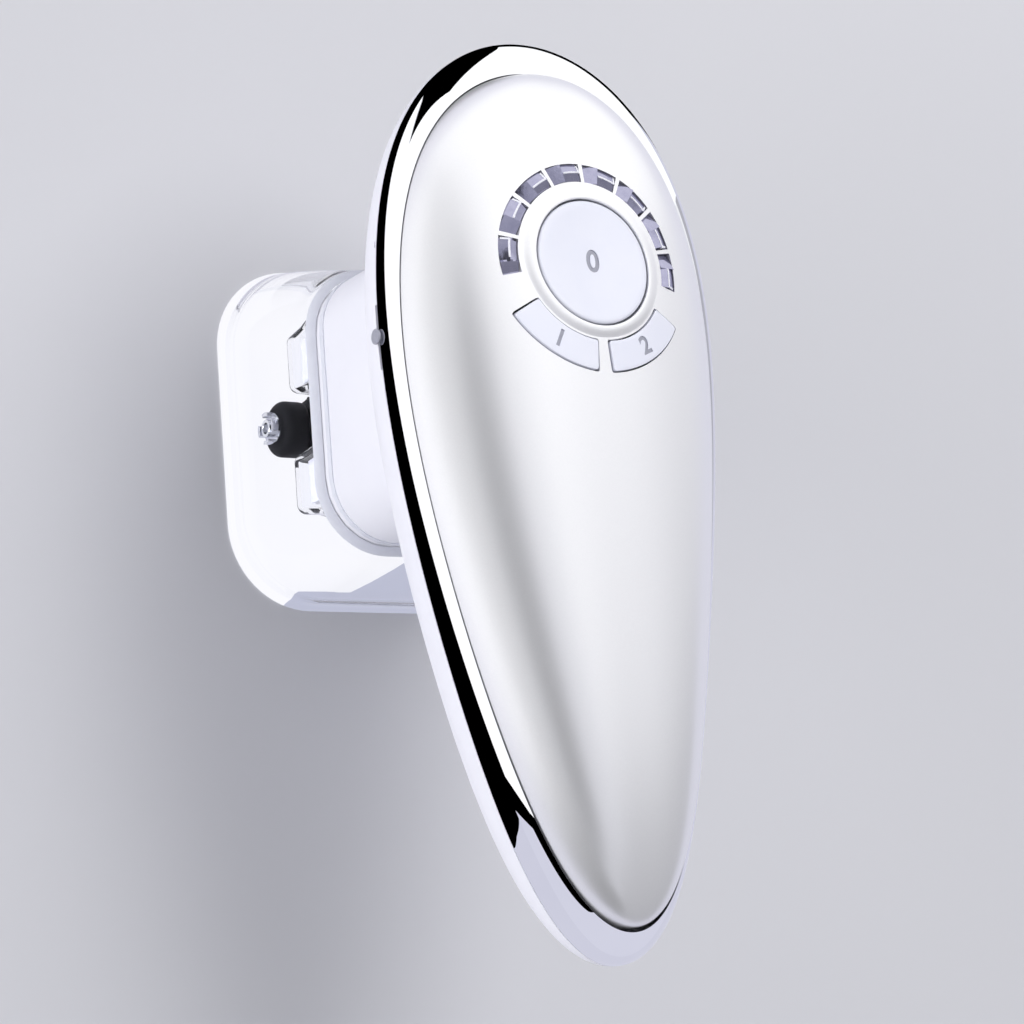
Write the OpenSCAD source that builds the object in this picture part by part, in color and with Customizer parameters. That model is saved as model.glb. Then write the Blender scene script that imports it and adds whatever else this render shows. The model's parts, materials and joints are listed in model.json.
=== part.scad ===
// Electric cupping massager: egg-shaped handle on a rounded-square pump neck and a clear suction cup.
// It rests on the cup's rim. +Z is up out of the button face, +Y runs along the handle to its wide end.
// The origin is on the surface it rests on, under the middle of the handle's length.

/* [Handle outline] */
// Half length of the front cover at its seam
handle_half_l = 98; // [90:1:110]
// Half width of the front cover at mid-length
handle_half_w = 38.1; // [36:0.1:44]
// How much the outline swells towards the wide end
egg_swell = 15; // [12:0.5:17]
// Extra fullness of both ends of the outline
egg_fullness = 5.8; // [3:0.2:8]
// How much the fullness of the wide end is eased
egg_ease = 2.3; // [0:0.1:4]
// Height of the cover's crown over the seam at mid-length
crown_h = 16.7; // [15:0.1:20]
// How much the crown rises towards the wide end
crown_lean = 1.8; // [0:0.1:3]
// Extra height of the crown towards both ends
crown_fullness = 4; // [2:0.5:6]
// Power of the cover's cross-section, where 2 is an ellipse
section_power = 2.8; // [2.2:0.1:3.2]
// Rise of the seam at the handle's tip
tip_rise = 9; // [5:0.5:10]
// Distance from mid-length to where the seam starts to rise
rise_start = 30; // [20:1:40]
// Wall of the moulded shells
wall = 2.2; // [1.6:0.1:2.6]

/* [Trim ring] */
// Width of the ring's face past the cover at the wide end
trim_top_w = 8.4; // [6:0.2:10]
// Width of the ring's face past the cover at the tip
trim_tip_w = 6.6; // [5:0.2:9]
// Width of the ring's face past the cover at the sides
trim_side_w = 3.1; // [2.4:0.1:4]
// Drop of the ring's face at mid-length
trim_drop = 4.2; // [3:0.1:5]
// Extra drop of the ring's face towards the tip
trim_tip_drop = 3.7; // [2:0.1:4.5]
// Height of the upright band under the ring's face
trim_band_h = 0.8; // [0.5:0.1:1.5]
// Depth of the cover's skirt inside the ring
cover_skirt = 1; // [0.6:0.1:1.4]
// Gap along the seam between cover and ring
seam_gap = 0.2; // [0.1:0.05:0.4]

/* [Rear casing] */
// Depth of the rear casing at mid-length
rear_depth = 22; // [20:0.5:26]
// Extra depth of the rear casing towards both ends
rear_fullness = 5; // [3:0.5:8]
// Power of the rear casing's cross-section
rear_power = 2.5; // [2.2:0.1:3]

/* [Neck and cup] */
// Distance of the neck's centre from the seam's wide end
head_setback = 67.4; // [65:0.2:72]
// Distance from the neck's end to the cover's seam
neck_reach = 54.4; // [52:0.2:62]
// Half width of the square neck
neck_half = 32.8; // [32:0.1:34]
// Corner radius of the neck
neck_corner_r = 15.5; // [12:0.5:17]
// Half width of the square cup at its walls
cup_half = 41.8; // [41:0.1:46]
// Corner radius of the cup
cup_corner_r = 20; // [16:0.5:22]
// Height of the neck's end over the cup's rim
cup_h = 31.6; // [31:0.2:38]
// Wall of the cup
cup_wall = 2.2; // [1.8:0.1:2.6]
// Width of the bead round the cup's rim
rim_bead = 0.9; // [0.5:0.1:1.5]
// Height of the cup's collar on the neck
collar_h = 5.5; // [4.5:0.5:7]
// Wall of the cup's collar
collar_wall = 2; // [1.6:0.1:2.4]
// Thickness of the plate that closes the neck
head_plate_t = 2.8; // [2:0.1:3.4]

/* [Control panel] */
// Distance of the panel's centre from the seam's wide end
panel_setback = 49.3; // [48:0.1:52]
// Radius of the release button
button_r = 14.9; // [14:0.1:15.4]
// Depth of the dish in the release button
button_dish = 0.9; // [0.5:0.1:1.2]
// Width of the sloped well round the release button
well_w = 1.6; // [1:0.1:2]
// Inner radius of the mode keys
key_in_r = 18.3; // [18:0.1:18.8]
// Outer radius of the mode keys
key_out_r = 25.2; // [24.6:0.1:25.8]
// Half the gap between the two mode keys, in degrees
key_gap_angle = 4.8; // [3:0.2:8]
// Angle from the handle's axis to the far end of a mode key
key_end_angle = 58; // [50:1:62]
// Travel of the mode keys
key_travel = 0.6; // [0.4:0.1:0.8]
// Height of the mode keys over the cover
key_proud = 0.5; // [0.3:0.1:0.8]
// Inner radius of the level windows
window_in_r = 19.1; // [19:0.1:19.6]
// Outer radius of the level windows
window_out_r = 23.2; // [22.6:0.1:23.8]
// Number of level windows
window_count = 8; // [5:1:10]
// Angle that each level window takes
window_angle = 22.2; // [17:0.2:23]
// Angle of the bar between two level windows
window_bar_angle = 3.4; // [2.8:0.2:5]
// Clearance round everything that passes through the cover
panel_fit = 0.2; // [0.12:0.02:0.3]

/* [Roller and light windows] */
// Height of the roller's axis over the cup's rim
roller_z = 10.2; // [10:0.1:11]
// Radius of the roller's large lobes
lobe_r = 8; // [7:0.1:8.2]
// Radius of the roller's end lobes
end_lobe_r = 6.8; // [6:0.1:7.4]
// Distance of each hanger arm from the middle
hanger_x = 15.6; // [14:0.2:17]
// Thickness of a hanger arm
hanger_t = 3; // [2.4:0.1:3.6]
// Radius of the axle
axle_r = 2; // [1.6:0.1:2.4]
// Running clearance of the axle in the hanger arms, on the radius
axle_fit = 0.05; // [0.02:0.01:0.09]
// Length of the prongs on the roller's end caps
prong_l = 1.7; // [1:0.1:2.2]
// Outer radius of the roller's end caps
end_cap_r = 3.9; // [3.4:0.1:4.4]
// Distance from a light window's end to the neck's side
lens_margin = 2.4; // [2:0.1:4]
// Distance from a light window's outer side to the neck's side
lens_room = 10.9; // [10.5:0.1:12]
// Distance from the cup's middle to a light window
lens_gap = 7.5; // [7.2:0.1:8.5]
// Height of a light window under the head plate
lens_h = 15.4; // [14:0.2:16]
// Wall of a light window
lens_wall = 1.6; // [1.2:0.1:2]

/* [Slide knob] */
// Distance of the slide knob from the seam's wide end
knob_setback = 64.3; // [62:0.1:68]
// Radius of the slide knob
knob_r = 2; // [1.6:0.1:2.4]
// Thickness of the slide knob
knob_t = 0.9; // [0.6:0.1:1.5]
// Travel of the slide knob each way
knob_travel = 6; // [3:0.5:7]

/* [Pump, battery and boards] */
// How much shorter the pump motor is than half the neck's width
motor_room = 3.8; // [3:0.2:8]
// How much shorter the pump head is than half the neck's width
pump_room = 12.8; // [12:0.2:16]
// Radius of the pump's crank disc
crank_r = 5; // [3:0.5:6]
// Throw of the pump's crank disc
crank_throw = 1.2; // [0.5:0.1:1.5]
// Radius of the release valve's stem
stem_r = 2; // [1.5:0.1:2.5]
// Radius of the battery cell
cell_r = 9.2; // [7:0.1:9.4]
// Distance from the battery cell to the circuit board's tail
cell_room = 8.9; // [8:0.1:16]
// Radius of the main circuit board
board_r = 25.5; // [24.5:0.1:26]
// Thickness of the circuit boards
board_t = 1.6; // [1:0.1:2]
// Thickness of the chassis plate
chassis_t = 2; // [1.5:0.1:3]

/* [Hidden] */

$fn = 64;
// Points round the egg outline, rings over each shell, and points on a rounded corner
egg_n = 72;
dome_rings = 10;
inner_rings = 5;
corner_n = 7;

// Clearance between pieces that lie in each other, and between faces that meet
lie_gap = 0.15;
face_gap = 0.1;
rear_gap = 0.2;
// Fraction past the seam at which the cover's section would turn upright
section_reach = 1.15;
section_edge = pow(1 - pow(1 / section_reach, section_power), 1 / section_power);
// Angle at which the trim ring's face leaves the seam
trim_start_angle = 20;
trim_steps = 5;

// Places along the handle
handle_y = (trim_tip_w - trim_top_w) / 2;
dome_centre = 10;
panel_offset = handle_half_l - panel_setback;
knob_offset = handle_half_l - knob_setback;
head_y = handle_y + handle_half_l - head_setback;
panel_y = handle_y + panel_offset;
knob_y = handle_y + knob_offset;
seam_z = cup_h + neck_reach;

// Heights of the carriers inside
plate_top = cup_h + head_plate_t;
chassis_drop = 11.5;
chassis_z = seam_z - chassis_drop;
chassis_top = chassis_z + chassis_t;
crown_z = seam_z + crown_at(panel_offset / handle_half_l);
flange_z = crown_z - 5.9;
flange_t = 1.2;
flange_w = 0.8;
carrier_z = flange_z - 1.4;
carrier_t = 1.2;
switch_h = 3.4;
board_top = flange_z - key_travel - 0.2 - switch_h;
board_z = board_top - board_t;
spring_seat_z = board_z - 1;
button_lift = 0.2;

// Neck, collar and seal
neck_wall = 2.4;
collar_in = neck_half + 0.4;
collar_out = collar_in + collar_wall;
collar_top = cup_h + collar_h;
cup_top = cup_h + 1;
shoulder_r = 5.5;
rim_h = 2;
seal_z = plate_top + 0.4;
seal_h = 1.8;
seal_depth = 1;
seal_proud = 0.3;

// Light windows, trays and boards
lens_draft_in = 1;
lens_draft_out = 2.6;
lens_face_z = cup_h - lens_h;
lens_edge_r = 2;
lens_half_l = neck_half - lens_margin;
lens_w = neck_half - lens_room - lens_gap;
lens_mid = lens_gap + lens_w / 2;
tray_x = lens_half_l - lens_wall - 0.6;
tray_y = lens_w / 2 - lens_wall - 0.5;
scoop_r = 14;
window_bay_x = tray_x + 0.4;
window_bay_y = tray_y + 0.2;
light_places = [for (k = [-2.5:2.5]) k * tray_x / 3.2];

// Roller
roller_half_l = neck_half;
cap_flange_t = 0.9;
sleeve_r = axle_r + 1.4;
eye_r = axle_r + 2.6;
hanger_foot_y = lens_gap - lens_draft_in - 0.7;
hanger_gap = 0.4;
outer_rubber_x = hanger_x + hanger_t / 2 + hanger_gap;
inner_rubber_x = hanger_x - hanger_t / 2 - hanger_gap;
lobe_edge_r = 2.2;
rib_count = 8;
rib_r = 1.4;

// Screws: casing places from the handle's middle, and head places from the neck's centre
top_boss_y = handle_half_l - 23;
tip_boss_y = 28 - handle_half_l;
casing_bosses = [[17.5, top_boss_y], [-17.5, top_boss_y], [9.5, tip_boss_y], [-9.5, tip_boss_y]];
head_screw_places = [for (sx = [-1, 1], sy = [-1, 1]) [sx * (neck_half - 11.8), sy * (neck_half - 4.9)]];
head_screw_l = 10;
boss_r = 3.2;
head_boss_r = 2.8;
head_boss_h = 11;
screw_r = 1.25;
screw_fit = 0.1;
screw_head_r = 2.2;
screw_head_h = 1.5;
screw_seat = 4;
screw_l = 12;

// Pump, motor and valve
motor_l = neck_half - motor_room;
pump_l = neck_half - pump_room;
motor_r = neck_half / 2 - 4.4;
pump_len = motor_l + pump_l;
motor_x = -pump_len / 2;
pump_x = motor_x + motor_l;
pump_half = motor_r + 0.6;
pump_y = head_y - 12;
pump_z = plate_top + 2 + pump_half;
shaft_r = 1;
crank_gap = 1.5;
crank_bay = 8;
manifold_half_x = neck_half - 15.8;
manifold_near = 9.3;
manifold_far = neck_half - neck_wall - 0.7;
manifold_half_y = (manifold_far - manifold_near) / 2;
manifold_h = 12;
manifold_y = (manifold_far + manifold_near) / 2;
port_hole_y = lens_gap + lens_w + lens_draft_out + 2.7;
port_hole_r = 1.5;
tube_x = manifold_half_x - 3;
tube_z = plate_top + 6.6;
tube_r = 2.6;
nipple_r = 1.7;
nipple_l = 3;
seat_r = 6.5;
seat_h = 3;
seat_z = plate_top + manifold_h - seat_h;
valve_y = panel_y;
valve_bore_r = stem_r + 0.8;
poppet_r = stem_r + 2;
poppet_t = 1.6;
stem_socket = 2;
guide_r = stem_r + 3.4;
spring_r = stem_r + 2;
spring_wire_r = 0.35;
spring_turns = 5;

// Battery and charging port
chassis_fill = 0.86;
board_tail = 12;
cradle_end = 2;
cell_y = handle_y + tip_boss_y + boss_r + cradle_end + 2.08;
cell_l = panel_y - board_r - board_tail - cell_room - cell_y;
cell_z = chassis_top + face_gap + 1.5 + cell_r;
port_y = handle_y + tip_boss_y - 10.36;
port_half_w = 4.5;
port_half_h = 1.6;
port_l = 7;

function half_w(c) = sqrt(max(0, 1 - c * c))
    * (handle_half_w + egg_swell * c + egg_fullness * c * c - egg_ease * c * c * c);
function crown_at(c) = sqrt(max(0, 1 - c * c)) * (crown_h + crown_lean * c + crown_fullness * c * c);
function rise_at(y) = tip_rise * pow(max(0, rise_start - y) / (rise_start + handle_half_l), 2);
function section(r) = (pow(1 - pow(min(r, 1) / section_reach, section_power), 1 / section_power)
    - section_edge) / (1 - section_edge);
// Height of the cover's surface over the seam level, from the handle's middle
function dome_h(x, y) = let (c = max(-1, min(1, y / handle_half_l)), w = max(half_w(c), 0.01))
    rise_at(y) + crown_at(c) * section(abs(x) / w);
function dome_z(x, y) = seam_z + dome_h(x, y - handle_y);

// The seam's outline, and the trim ring's outer edge, at angle t round the egg
function egg(t) = [sign(cos(t)) * half_w(sin(t)), handle_half_l * sin(t)];
function side_scale() = 1 + trim_side_w / max([for (c = [0:0.05:0.8]) half_w(c)]);
function outer(t) = [egg(t)[0] * side_scale(),
    sin(t) * (handle_half_l + (sin(t) > 0 ? trim_top_w : trim_tip_w))];
function drop_at(c) = trim_drop - trim_tip_drop * c / 2 + trim_tip_drop * c * c / 3;
function toward(p, s) = [p[0] * s, dome_centre + (p[1] - dome_centre) * s];
function placed(p, z) = [p[0], p[1] + handle_y, z];
function ease_out(k, n) = sin(90 * k / n);

function unit(v) = v / norm(v);
// Arc of radius r in the corner at b, between its neighbours a and c
function soft(a, b, c, r, n = 4) = let (u = unit(a - b), v = unit(c - b), h = acos(u * v) / 2,
    m = b + unit(u + v) * r / sin(h), p = b + u * r / tan(h) - m, q = b + v * r / tan(h) - m)
    [for (k = [0:n]) m + r * unit(p * (1 - k / n) + q * k / n)];

// A closed skin over rings of points, with a pole before the first ring and after the last
module skin(rings, first, last) {
    n = len(rings[0]);
    m = len(rings);
    points = concat([first], [for (r = rings, p = r) p], [last]);
    body = [for (k = [0:m - 2], i = [0:n - 1]) let (j = (i + 1) % n, a = 1 + k * n)
        each [[a + i, a + j, a + n + j], [a + i, a + n + j, a + n + i]]];
    caps = [for (i = [0:n - 1]) let (j = (i + 1) % n, a = 1 + (m - 1) * n)
        each [[0, 1 + j, 1 + i], [a + i, a + j, a + n]]];
    polyhedron(points, concat(body, caps));
}

// A closed ring of the same section all round, given as rings of points in order
module band(rings) {
    n = len(rings[0]);
    m = len(rings);
    polyhedron([for (r = rings, p = r) p],
        [for (k = [0:m - 1], i = [0:n - 1]) let (j = (i + 1) % n, a = k * n, b = ((k + 1) % m) * n)
            each [[a + i, a + j, b + j], [a + i, b + j, b + i]]]);
}

// Rounded rectangle as points, about the neck's centre
function rounded(hx, hy, r, z = 0) = [for (q = [0:3], i = [0:corner_n - 1])
    let (a = 90 * q + 90 * i / (corner_n - 1), sx = (q == 0 || q == 3) ? 1 : -1, sy = q < 2 ? 1 : -1)
    [sx * (hx - r) + r * cos(a), sy * (hy - r) + r * sin(a), z]];
function flat(points) = [for (p = points) [p[0], p[1]]];
module prism(hx, hy, r, h) linear_extrude(h) polygon(flat(rounded(hx, hy, r)));
module at_head(z = 0) translate([0, head_y, z]) children();
module at_panel(z = 0) translate([0, panel_y, z]) children();

// Block under the panel whose top follows the cover's surface, raised by lift
module panel_block(lift, bottom) {
    panel_r = key_out_r + 1.5;
    rings = [for (k = [1:6]) [for (i = [0:47])
        let (a = 7.5 * i, r = panel_r * k / 6, x = r * cos(a), y = panel_y + r * sin(a))
        [x, y, dome_z(x, y) + lift]]];
    floor_ring = [for (p = rings[5]) [p[0], p[1], bottom]];
    skin(concat(rings, [floor_ring]), [0, panel_y, crown_z + lift], [0, panel_y, bottom]);
}
// Ring segment about the panel's centre
module arc(r0, r1, from, to, z, h)
    at_panel(z) rotate([0, 0, from]) rotate_extrude(angle = to - from)
        translate([r0, 0]) square([r1 - r0, h]);

function window_span() = window_count * window_angle + (window_count - 1) * window_bar_angle;
function window_start(k) = 90 - window_span() / 2 + k * (window_angle + window_bar_angle);
function at_radius(gap, r) = gap * 180 / (PI * r);

function cover_ring(s) = [for (i = [0:egg_n - 1])
    let (t = 360 * i / egg_n, p = toward(egg(t), s), g = 1 - seam_gap / handle_half_w)
    [p[0] * g, p[1] * g + handle_y, seam_z + dome_h(p[0], p[1])]];
function shrunk(ring, by_h) = [for (p = ring)
    let (y = p[1] - handle_y, level = seam_z + rise_at(y))
    [p[0] * (1 - wall / handle_half_w),
        dome_centre + (y - dome_centre) * (1 - wall / handle_half_l) + handle_y,
        level + (p[2] - level) * (1 - wall / by_h)]];
function lowered(ring, h) = [for (p = ring) [p[0], p[1], p[2] - h]];

module front_cover() color("#F4F4FA") difference() {
    union() {
        outer_rings = [for (k = [1:dome_rings]) cover_ring(ease_out(k, dome_rings))];
        edge = outer_rings[dome_rings - 1];
        inner = [for (k = [inner_rings:-1:1]) shrunk(cover_ring(ease_out(k, inner_rings)), crown_h)];
        top = [0, dome_centre + handle_y, dome_z(0, dome_centre + handle_y)];
        skin(concat(outer_rings, [lowered(edge, cover_skirt), lowered(inner[0], cover_skirt)], inner),
            top, [top[0], top[1], top[2] - wall]);
        for (b = casing_bosses)
            translate([b[0], b[1] + handle_y, chassis_top + face_gap])
                cylinder(r = boss_r, h = dome_z(beside(b)[0], beside(b)[1] + handle_y) - chassis_top - 0.8);
    }
    at_panel(seam_z) cylinder(r = button_r + panel_fit, h = 2 * crown_h);
    at_panel(crown_z - well_w)
        cylinder(r1 = button_r + panel_fit, r2 = button_r + panel_fit + 2 * well_w, h = 2 * well_w);
    for (k = [0:window_count - 1]) {
        slack = at_radius(panel_fit, window_in_r);
        arc(window_in_r - panel_fit, window_out_r + panel_fit, window_start(k) - slack,
            window_start(k) + window_angle + slack, seam_z, 2 * crown_h);
    }
    for (side = [-1, 1]) key_arc(side, panel_fit, seam_z, 2 * crown_h);
    for (b = casing_bosses)
        translate([b[0], b[1] + handle_y, chassis_z])
            cylinder(r = screw_r + screw_fit, h = screw_l - screw_seat + 0.5);
}
// Point of a boss's foot that is furthest from the handle's middle
function beside(b) = [for (v = b) v + sign(v) * boss_r * 0.7];

function trim_ring_points(step) = [for (i = [0:egg_n - 1])
    let (t = 360 * i / egg_n, p = egg(t), q = outer(t), level = seam_z + rise_at(p[1]),
        a = trim_start_angle + (90 - trim_start_angle) * step / trim_steps,
        f = (sin(a) - sin(trim_start_angle)) / (1 - sin(trim_start_angle)),
        g = (cos(trim_start_angle) - cos(a)) / cos(trim_start_angle))
    placed(p + (q - p) * f, level - drop_at(sin(t)) * g)];
function inward(ring, by) = [for (p = ring)
    [p[0] * (1 - by / handle_half_w),
        handle_y + (p[1] - handle_y) * (1 - by / handle_half_l), p[2]]];

module trim_ring() color("#C9CCD6") {
    face = [for (k = [0:trim_steps]) trim_ring_points(k)];
    foot = lowered(face[trim_steps], trim_band_h);
    ledge = lowered(face[0], cover_skirt + face_gap);
    ledge_in = inward(ledge, wall);
    foot_in = [for (i = [0:egg_n - 1]) [ledge_in[i][0], ledge_in[i][1], foot[i][2]]];
    difference() {
        band(concat(face, [foot, foot_in, ledge_in, ledge]));
        knob_slot();
    }
}

// Place of y along the ring's outer edge, from -1 at the tip to 1
function rear_c(y) = max(-1, min(1, y / (handle_half_l + (y > 0 ? trim_top_w : trim_tip_w))));
function rear_edge_z(y) = let (c = rear_c(y))
    seam_z + rise_at(c * handle_half_l) - drop_at(c) - trim_band_h - rear_gap;
function rear_deep(c) = sqrt(max(0, 1 - c * c)) * (rear_depth + rear_fullness * c * c);
// Ring of the rear casing at fraction s of its outline
function rear_ring(s) = [for (i = [0:egg_n - 1])
    let (t = 360 * i / egg_n, q = outer(t), p = toward(q, s),
        c = rear_c(p[1]),
        w = max(half_w(c) * side_scale(), 0.01), r = min(1, abs(p[0]) / w))
    placed(p, rear_edge_z(p[1]) - rear_deep(c) * pow(1 - pow(r, rear_power), 1 / rear_power))];
function rear_inner(s) = [for (p = rear_ring(s)) let (y = p[1] - handle_y, level = rear_edge_z(y))
    [p[0] * (1 - wall / handle_half_w),
        dome_centre + (y - dome_centre) * (1 - wall / handle_half_l) + handle_y,
        level + (p[2] - level) * (1 - wall / rear_depth)]];
function rear_z(x, y) = let (c = rear_c(y), r = min(1, abs(x) / max(half_w(c) * side_scale(), 0.01)))
    rear_edge_z(y) - rear_deep(c) * pow(1 - pow(r, rear_power), 1 / rear_power);

module knob_slot()
    translate([-handle_half_w - 14, knob_y - knob_travel - 2, knob_z() - 0.8])
        cube([20, 2 * knob_travel + 4, 1.6]);
function knob_z() = rear_edge_z(knob_offset);
function knob_x() = max([for (d = [-knob_travel:2:knob_travel])
    half_w(rear_c(knob_offset + d)) * side_scale()]) + 0.25;

module rear_casing() color("#F1F2FA") difference() {
    union() {
        inner = [for (k = [1:inner_rings + 2]) rear_inner(ease_out(k, inner_rings + 2))];
        outer_rings = [for (k = [dome_rings:-1:1]) rear_ring(ease_out(k, dome_rings))];
        bottom = [0, dome_centre + handle_y, rear_z(0, dome_centre)];
        skin(concat(inner, outer_rings), [bottom[0], bottom[1], bottom[2] + wall], bottom);
        for (b = casing_bosses) {
            base = rear_z(beside(b)[0], beside(b)[1]) + 0.5;
            translate([b[0], b[1] + handle_y, base])
                cylinder(r = boss_r, h = chassis_z - face_gap - base);
        }
        for (x = [-6, 6]) translate([x, port_y, port_z() + 0.5]) cylinder(r = 1.6, h = port_l - 0.5);
    }
    at_head(seam_z - rear_depth - 20)
        prism(neck_half + lie_gap, neck_half + lie_gap, neck_corner_r + lie_gap, rear_depth + 22);
    for (b = casing_bosses) translate([b[0], b[1] + handle_y, chassis_z]) mirror([0, 0, 1]) {
        translate([0, 0, -1]) cylinder(r = screw_r + screw_fit, h = 20);
        translate([0, 0, screw_seat]) cylinder(r = screw_head_r + screw_fit, h = 20);
    }
    translate([-port_half_w - lie_gap, port_y - port_half_h - lie_gap, chassis_z - 20])
        cube([2 * (port_half_w + lie_gap), 2 * (port_half_h + lie_gap), 22]);
    knob_slot();
}

module neck_housing() color("#E9E8F4") difference() {
    union() {
        at_head(plate_top + face_gap) difference() {
            prism(neck_half, neck_half, neck_corner_r, chassis_z - plate_top - 2 * face_gap);
            translate([0, 0, -1])
                prism(neck_half - neck_wall, neck_half - neck_wall, neck_corner_r - neck_wall, chassis_z);
        }
        at_head(plate_top + face_gap) for (p = head_screw_places) translate([p[0], p[1], 0])
            cylinder(r = head_boss_r, h = head_boss_h);
    }
    at_head(plate_top) for (p = head_screw_places) translate([p[0], p[1], -1])
        cylinder(r = screw_r + screw_fit, h = head_boss_h);
    at_head(seal_z) difference() {
        prism(neck_half + 1, neck_half + 1, neck_corner_r + 1, seal_h);
        translate([0, 0, -1]) prism(neck_half - seal_depth, neck_half - seal_depth,
            neck_corner_r - seal_depth, seal_h + 2);
    }
}

module head_plate() color("#F2F2F8") at_head() difference() {
    translate([0, 0, cup_h]) prism(neck_half, neck_half, neck_corner_r, head_plate_t);
    for (side = [-1, 1]) translate([0, side * lens_mid, cup_h - 1])
        linear_extrude(head_plate_t + 2) square([2 * window_bay_x, 2 * window_bay_y], center = true);
    translate([0, port_hole_y, cup_h - 1]) cylinder(r = port_hole_r, h = head_plate_t + 2);
    for (p = head_screw_places) translate([p[0], p[1], cup_h]) {
        translate([0, 0, -1]) cylinder(r = screw_r + screw_fit, h = head_plate_t + 2);
        translate([0, 0, -1]) cylinder(r = screw_head_r + screw_fit, h = 1 + screw_head_h);
    }
}

// Half width and height of each ring round the cup's wall, from the collar's top outside to inside
function cup_rows() = concat(
    [[collar_out, collar_top], [collar_out, cup_top + 1.4], [collar_out + 0.5, cup_top + 0.3]],
    [for (a = [90:-18:0]) [cup_half - shoulder_r * (1 - cos(a)), cup_top - shoulder_r * (1 - sin(a))]],
    [[cup_half + rim_bead / 3, rim_h * 3], [cup_half + rim_bead, rim_h],
        [cup_half + rim_bead, 0.6], [cup_half + rim_bead - 0.6, 0],
        [cup_half - cup_wall + 0.6, 0], [cup_half - cup_wall, 0.8]],
    [for (a = [0:18:90]) let (r = shoulder_r - cup_wall)
        [cup_half - shoulder_r + r * cos(a), cup_top - shoulder_r + r * sin(a)]],
    [[collar_in, cup_top - cup_wall], [collar_in, collar_top]]);
// Where the corner arcs are centred: under the neck's corners at the collar, the cup's at the wall
function corner_centre(h) = let (neck_c = neck_half - neck_corner_r, cup_c = cup_half - cup_corner_r,
    f = max(0, min(1, (h - collar_out) / (cup_half - shoulder_r - collar_out))))
    neck_c + (cup_c - neck_c) * f;

module suction_cup() color("#E6EAF4", 0.5) at_head()
    band([for (r = cup_rows()) rounded(r[0], r[0], r[0] - corner_centre(r[0]), r[1])]);

module cup_seal() color("#D9DCE6") at_head(seal_z + face_gap) difference() {
    h = neck_half + seal_proud;
    in = neck_half - seal_depth + 0.05;
    prism(h, h, neck_corner_r + seal_proud, seal_h - 2 * face_gap);
    translate([0, 0, -1]) prism(in, in, neck_corner_r - seal_depth + 0.05, seal_h + 2);
}

// Side outline of a light window, inset by its wall, from its root to its face
function lens_outline(inset, root) = let (
    a = [lens_gap - lens_draft_in + inset, root], b = [lens_gap + inset, lens_face_z + inset],
    c = [lens_gap + lens_w - inset, lens_face_z + inset],
    d = [lens_gap + lens_w + lens_draft_out - inset, root])
    concat([a], soft(a, b, c, max(lens_edge_r - inset, 0.4)),
        soft(b, c, d, max(lens_edge_r + 1 - inset, 0.6)), [d]);
module along_x(length) rotate([90, 0, 90]) linear_extrude(length, center = true) children();

module light_window(side) color("#EEF0FA", 0.6) at_head() mirror([0, side < 0 ? 1 : 0, 0])
    difference() {
        along_x(2 * lens_half_l) polygon(lens_outline(0, cup_h - face_gap));
        along_x(2 * (lens_half_l - lens_wall)) polygon(lens_outline(lens_wall, cup_h + 1));
    }
module light_window_upper() light_window(1);
module light_window_lower() light_window(-1);

// White tray with a scooped face and a row of holes for the light board's lights
module reflector(side) color("#FFFFFF") at_head() translate([0, side * lens_mid, 0]) difference() {
    tray_z = lens_face_z + lens_wall + 0.6;
    translate([-tray_x, -tray_y, tray_z]) cube([2 * tray_x, 2 * tray_y, cup_h - face_gap - tray_z]);
    translate([0, 0, tray_z - scoop_r + tray_y]) along_x(2 * tray_x - 4) circle(r = scoop_r);
    for (x = light_places) translate([x, 0, tray_z]) cylinder(r = 1.8, h = cup_h);
}
module reflector_upper() reflector(1);
module reflector_lower() reflector(-1);

module light_board(side) color("#DDE8DC") at_head() translate([0, side * lens_mid, cup_h]) {
    translate([-window_bay_x + lie_gap, -window_bay_y + lie_gap, 0])
        cube([2 * (window_bay_x - lie_gap), 2 * (window_bay_y - lie_gap), board_t]);
    for (x = light_places) translate([x, 0, -1]) cylinder(r = 1.3, h = 1.2);
}
module light_board_upper() light_board(1);
module light_board_lower() light_board(-1);

module at_roller() translate([0, head_y, roller_z]) rotate([0, 90, 0]) children();

module roller_hangers() color("#F0F0F6") at_head() for (side = [-1, 1])
    translate([side * hanger_x, 0, 0]) difference() {
        top = cup_h - face_gap;
        union() {
            along_x(hanger_t) polygon([[hanger_foot_y, top], [-hanger_foot_y, top],
                [-eye_r * 0.92, roller_z - eye_r * 0.2], [eye_r * 0.92, roller_z - eye_r * 0.2]]);
            translate([0, 0, roller_z]) along_x(hanger_t) circle(r = eye_r);
            translate([-hanger_t - 1, -hanger_foot_y, top - 1.6])
                cube([2 * hanger_t + 2, 2 * hanger_foot_y, 1.6]);
        }
        translate([0, 0, roller_z]) along_x(hanger_t + 2) circle(r = axle_r + axle_fit);
    }

module roller_axle() color("#B9BCC4") at_roller()
    cylinder(r = axle_r, h = 2 * roller_half_l, center = true);

module sleeve(from, to) translate([0, 0, from]) difference() {
    cylinder(r = sleeve_r, h = to - from);
    translate([0, 0, -1]) cylinder(r = axle_r + 0.02, h = to - from + 2);
}
module roller_sleeves() color("#2A2A2E") at_roller() {
    sleeve(-inner_rubber_x, inner_rubber_x);
    for (side = [0, 1]) mirror([0, 0, side]) sleeve(outer_rubber_x, roller_half_l);
}

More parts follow.
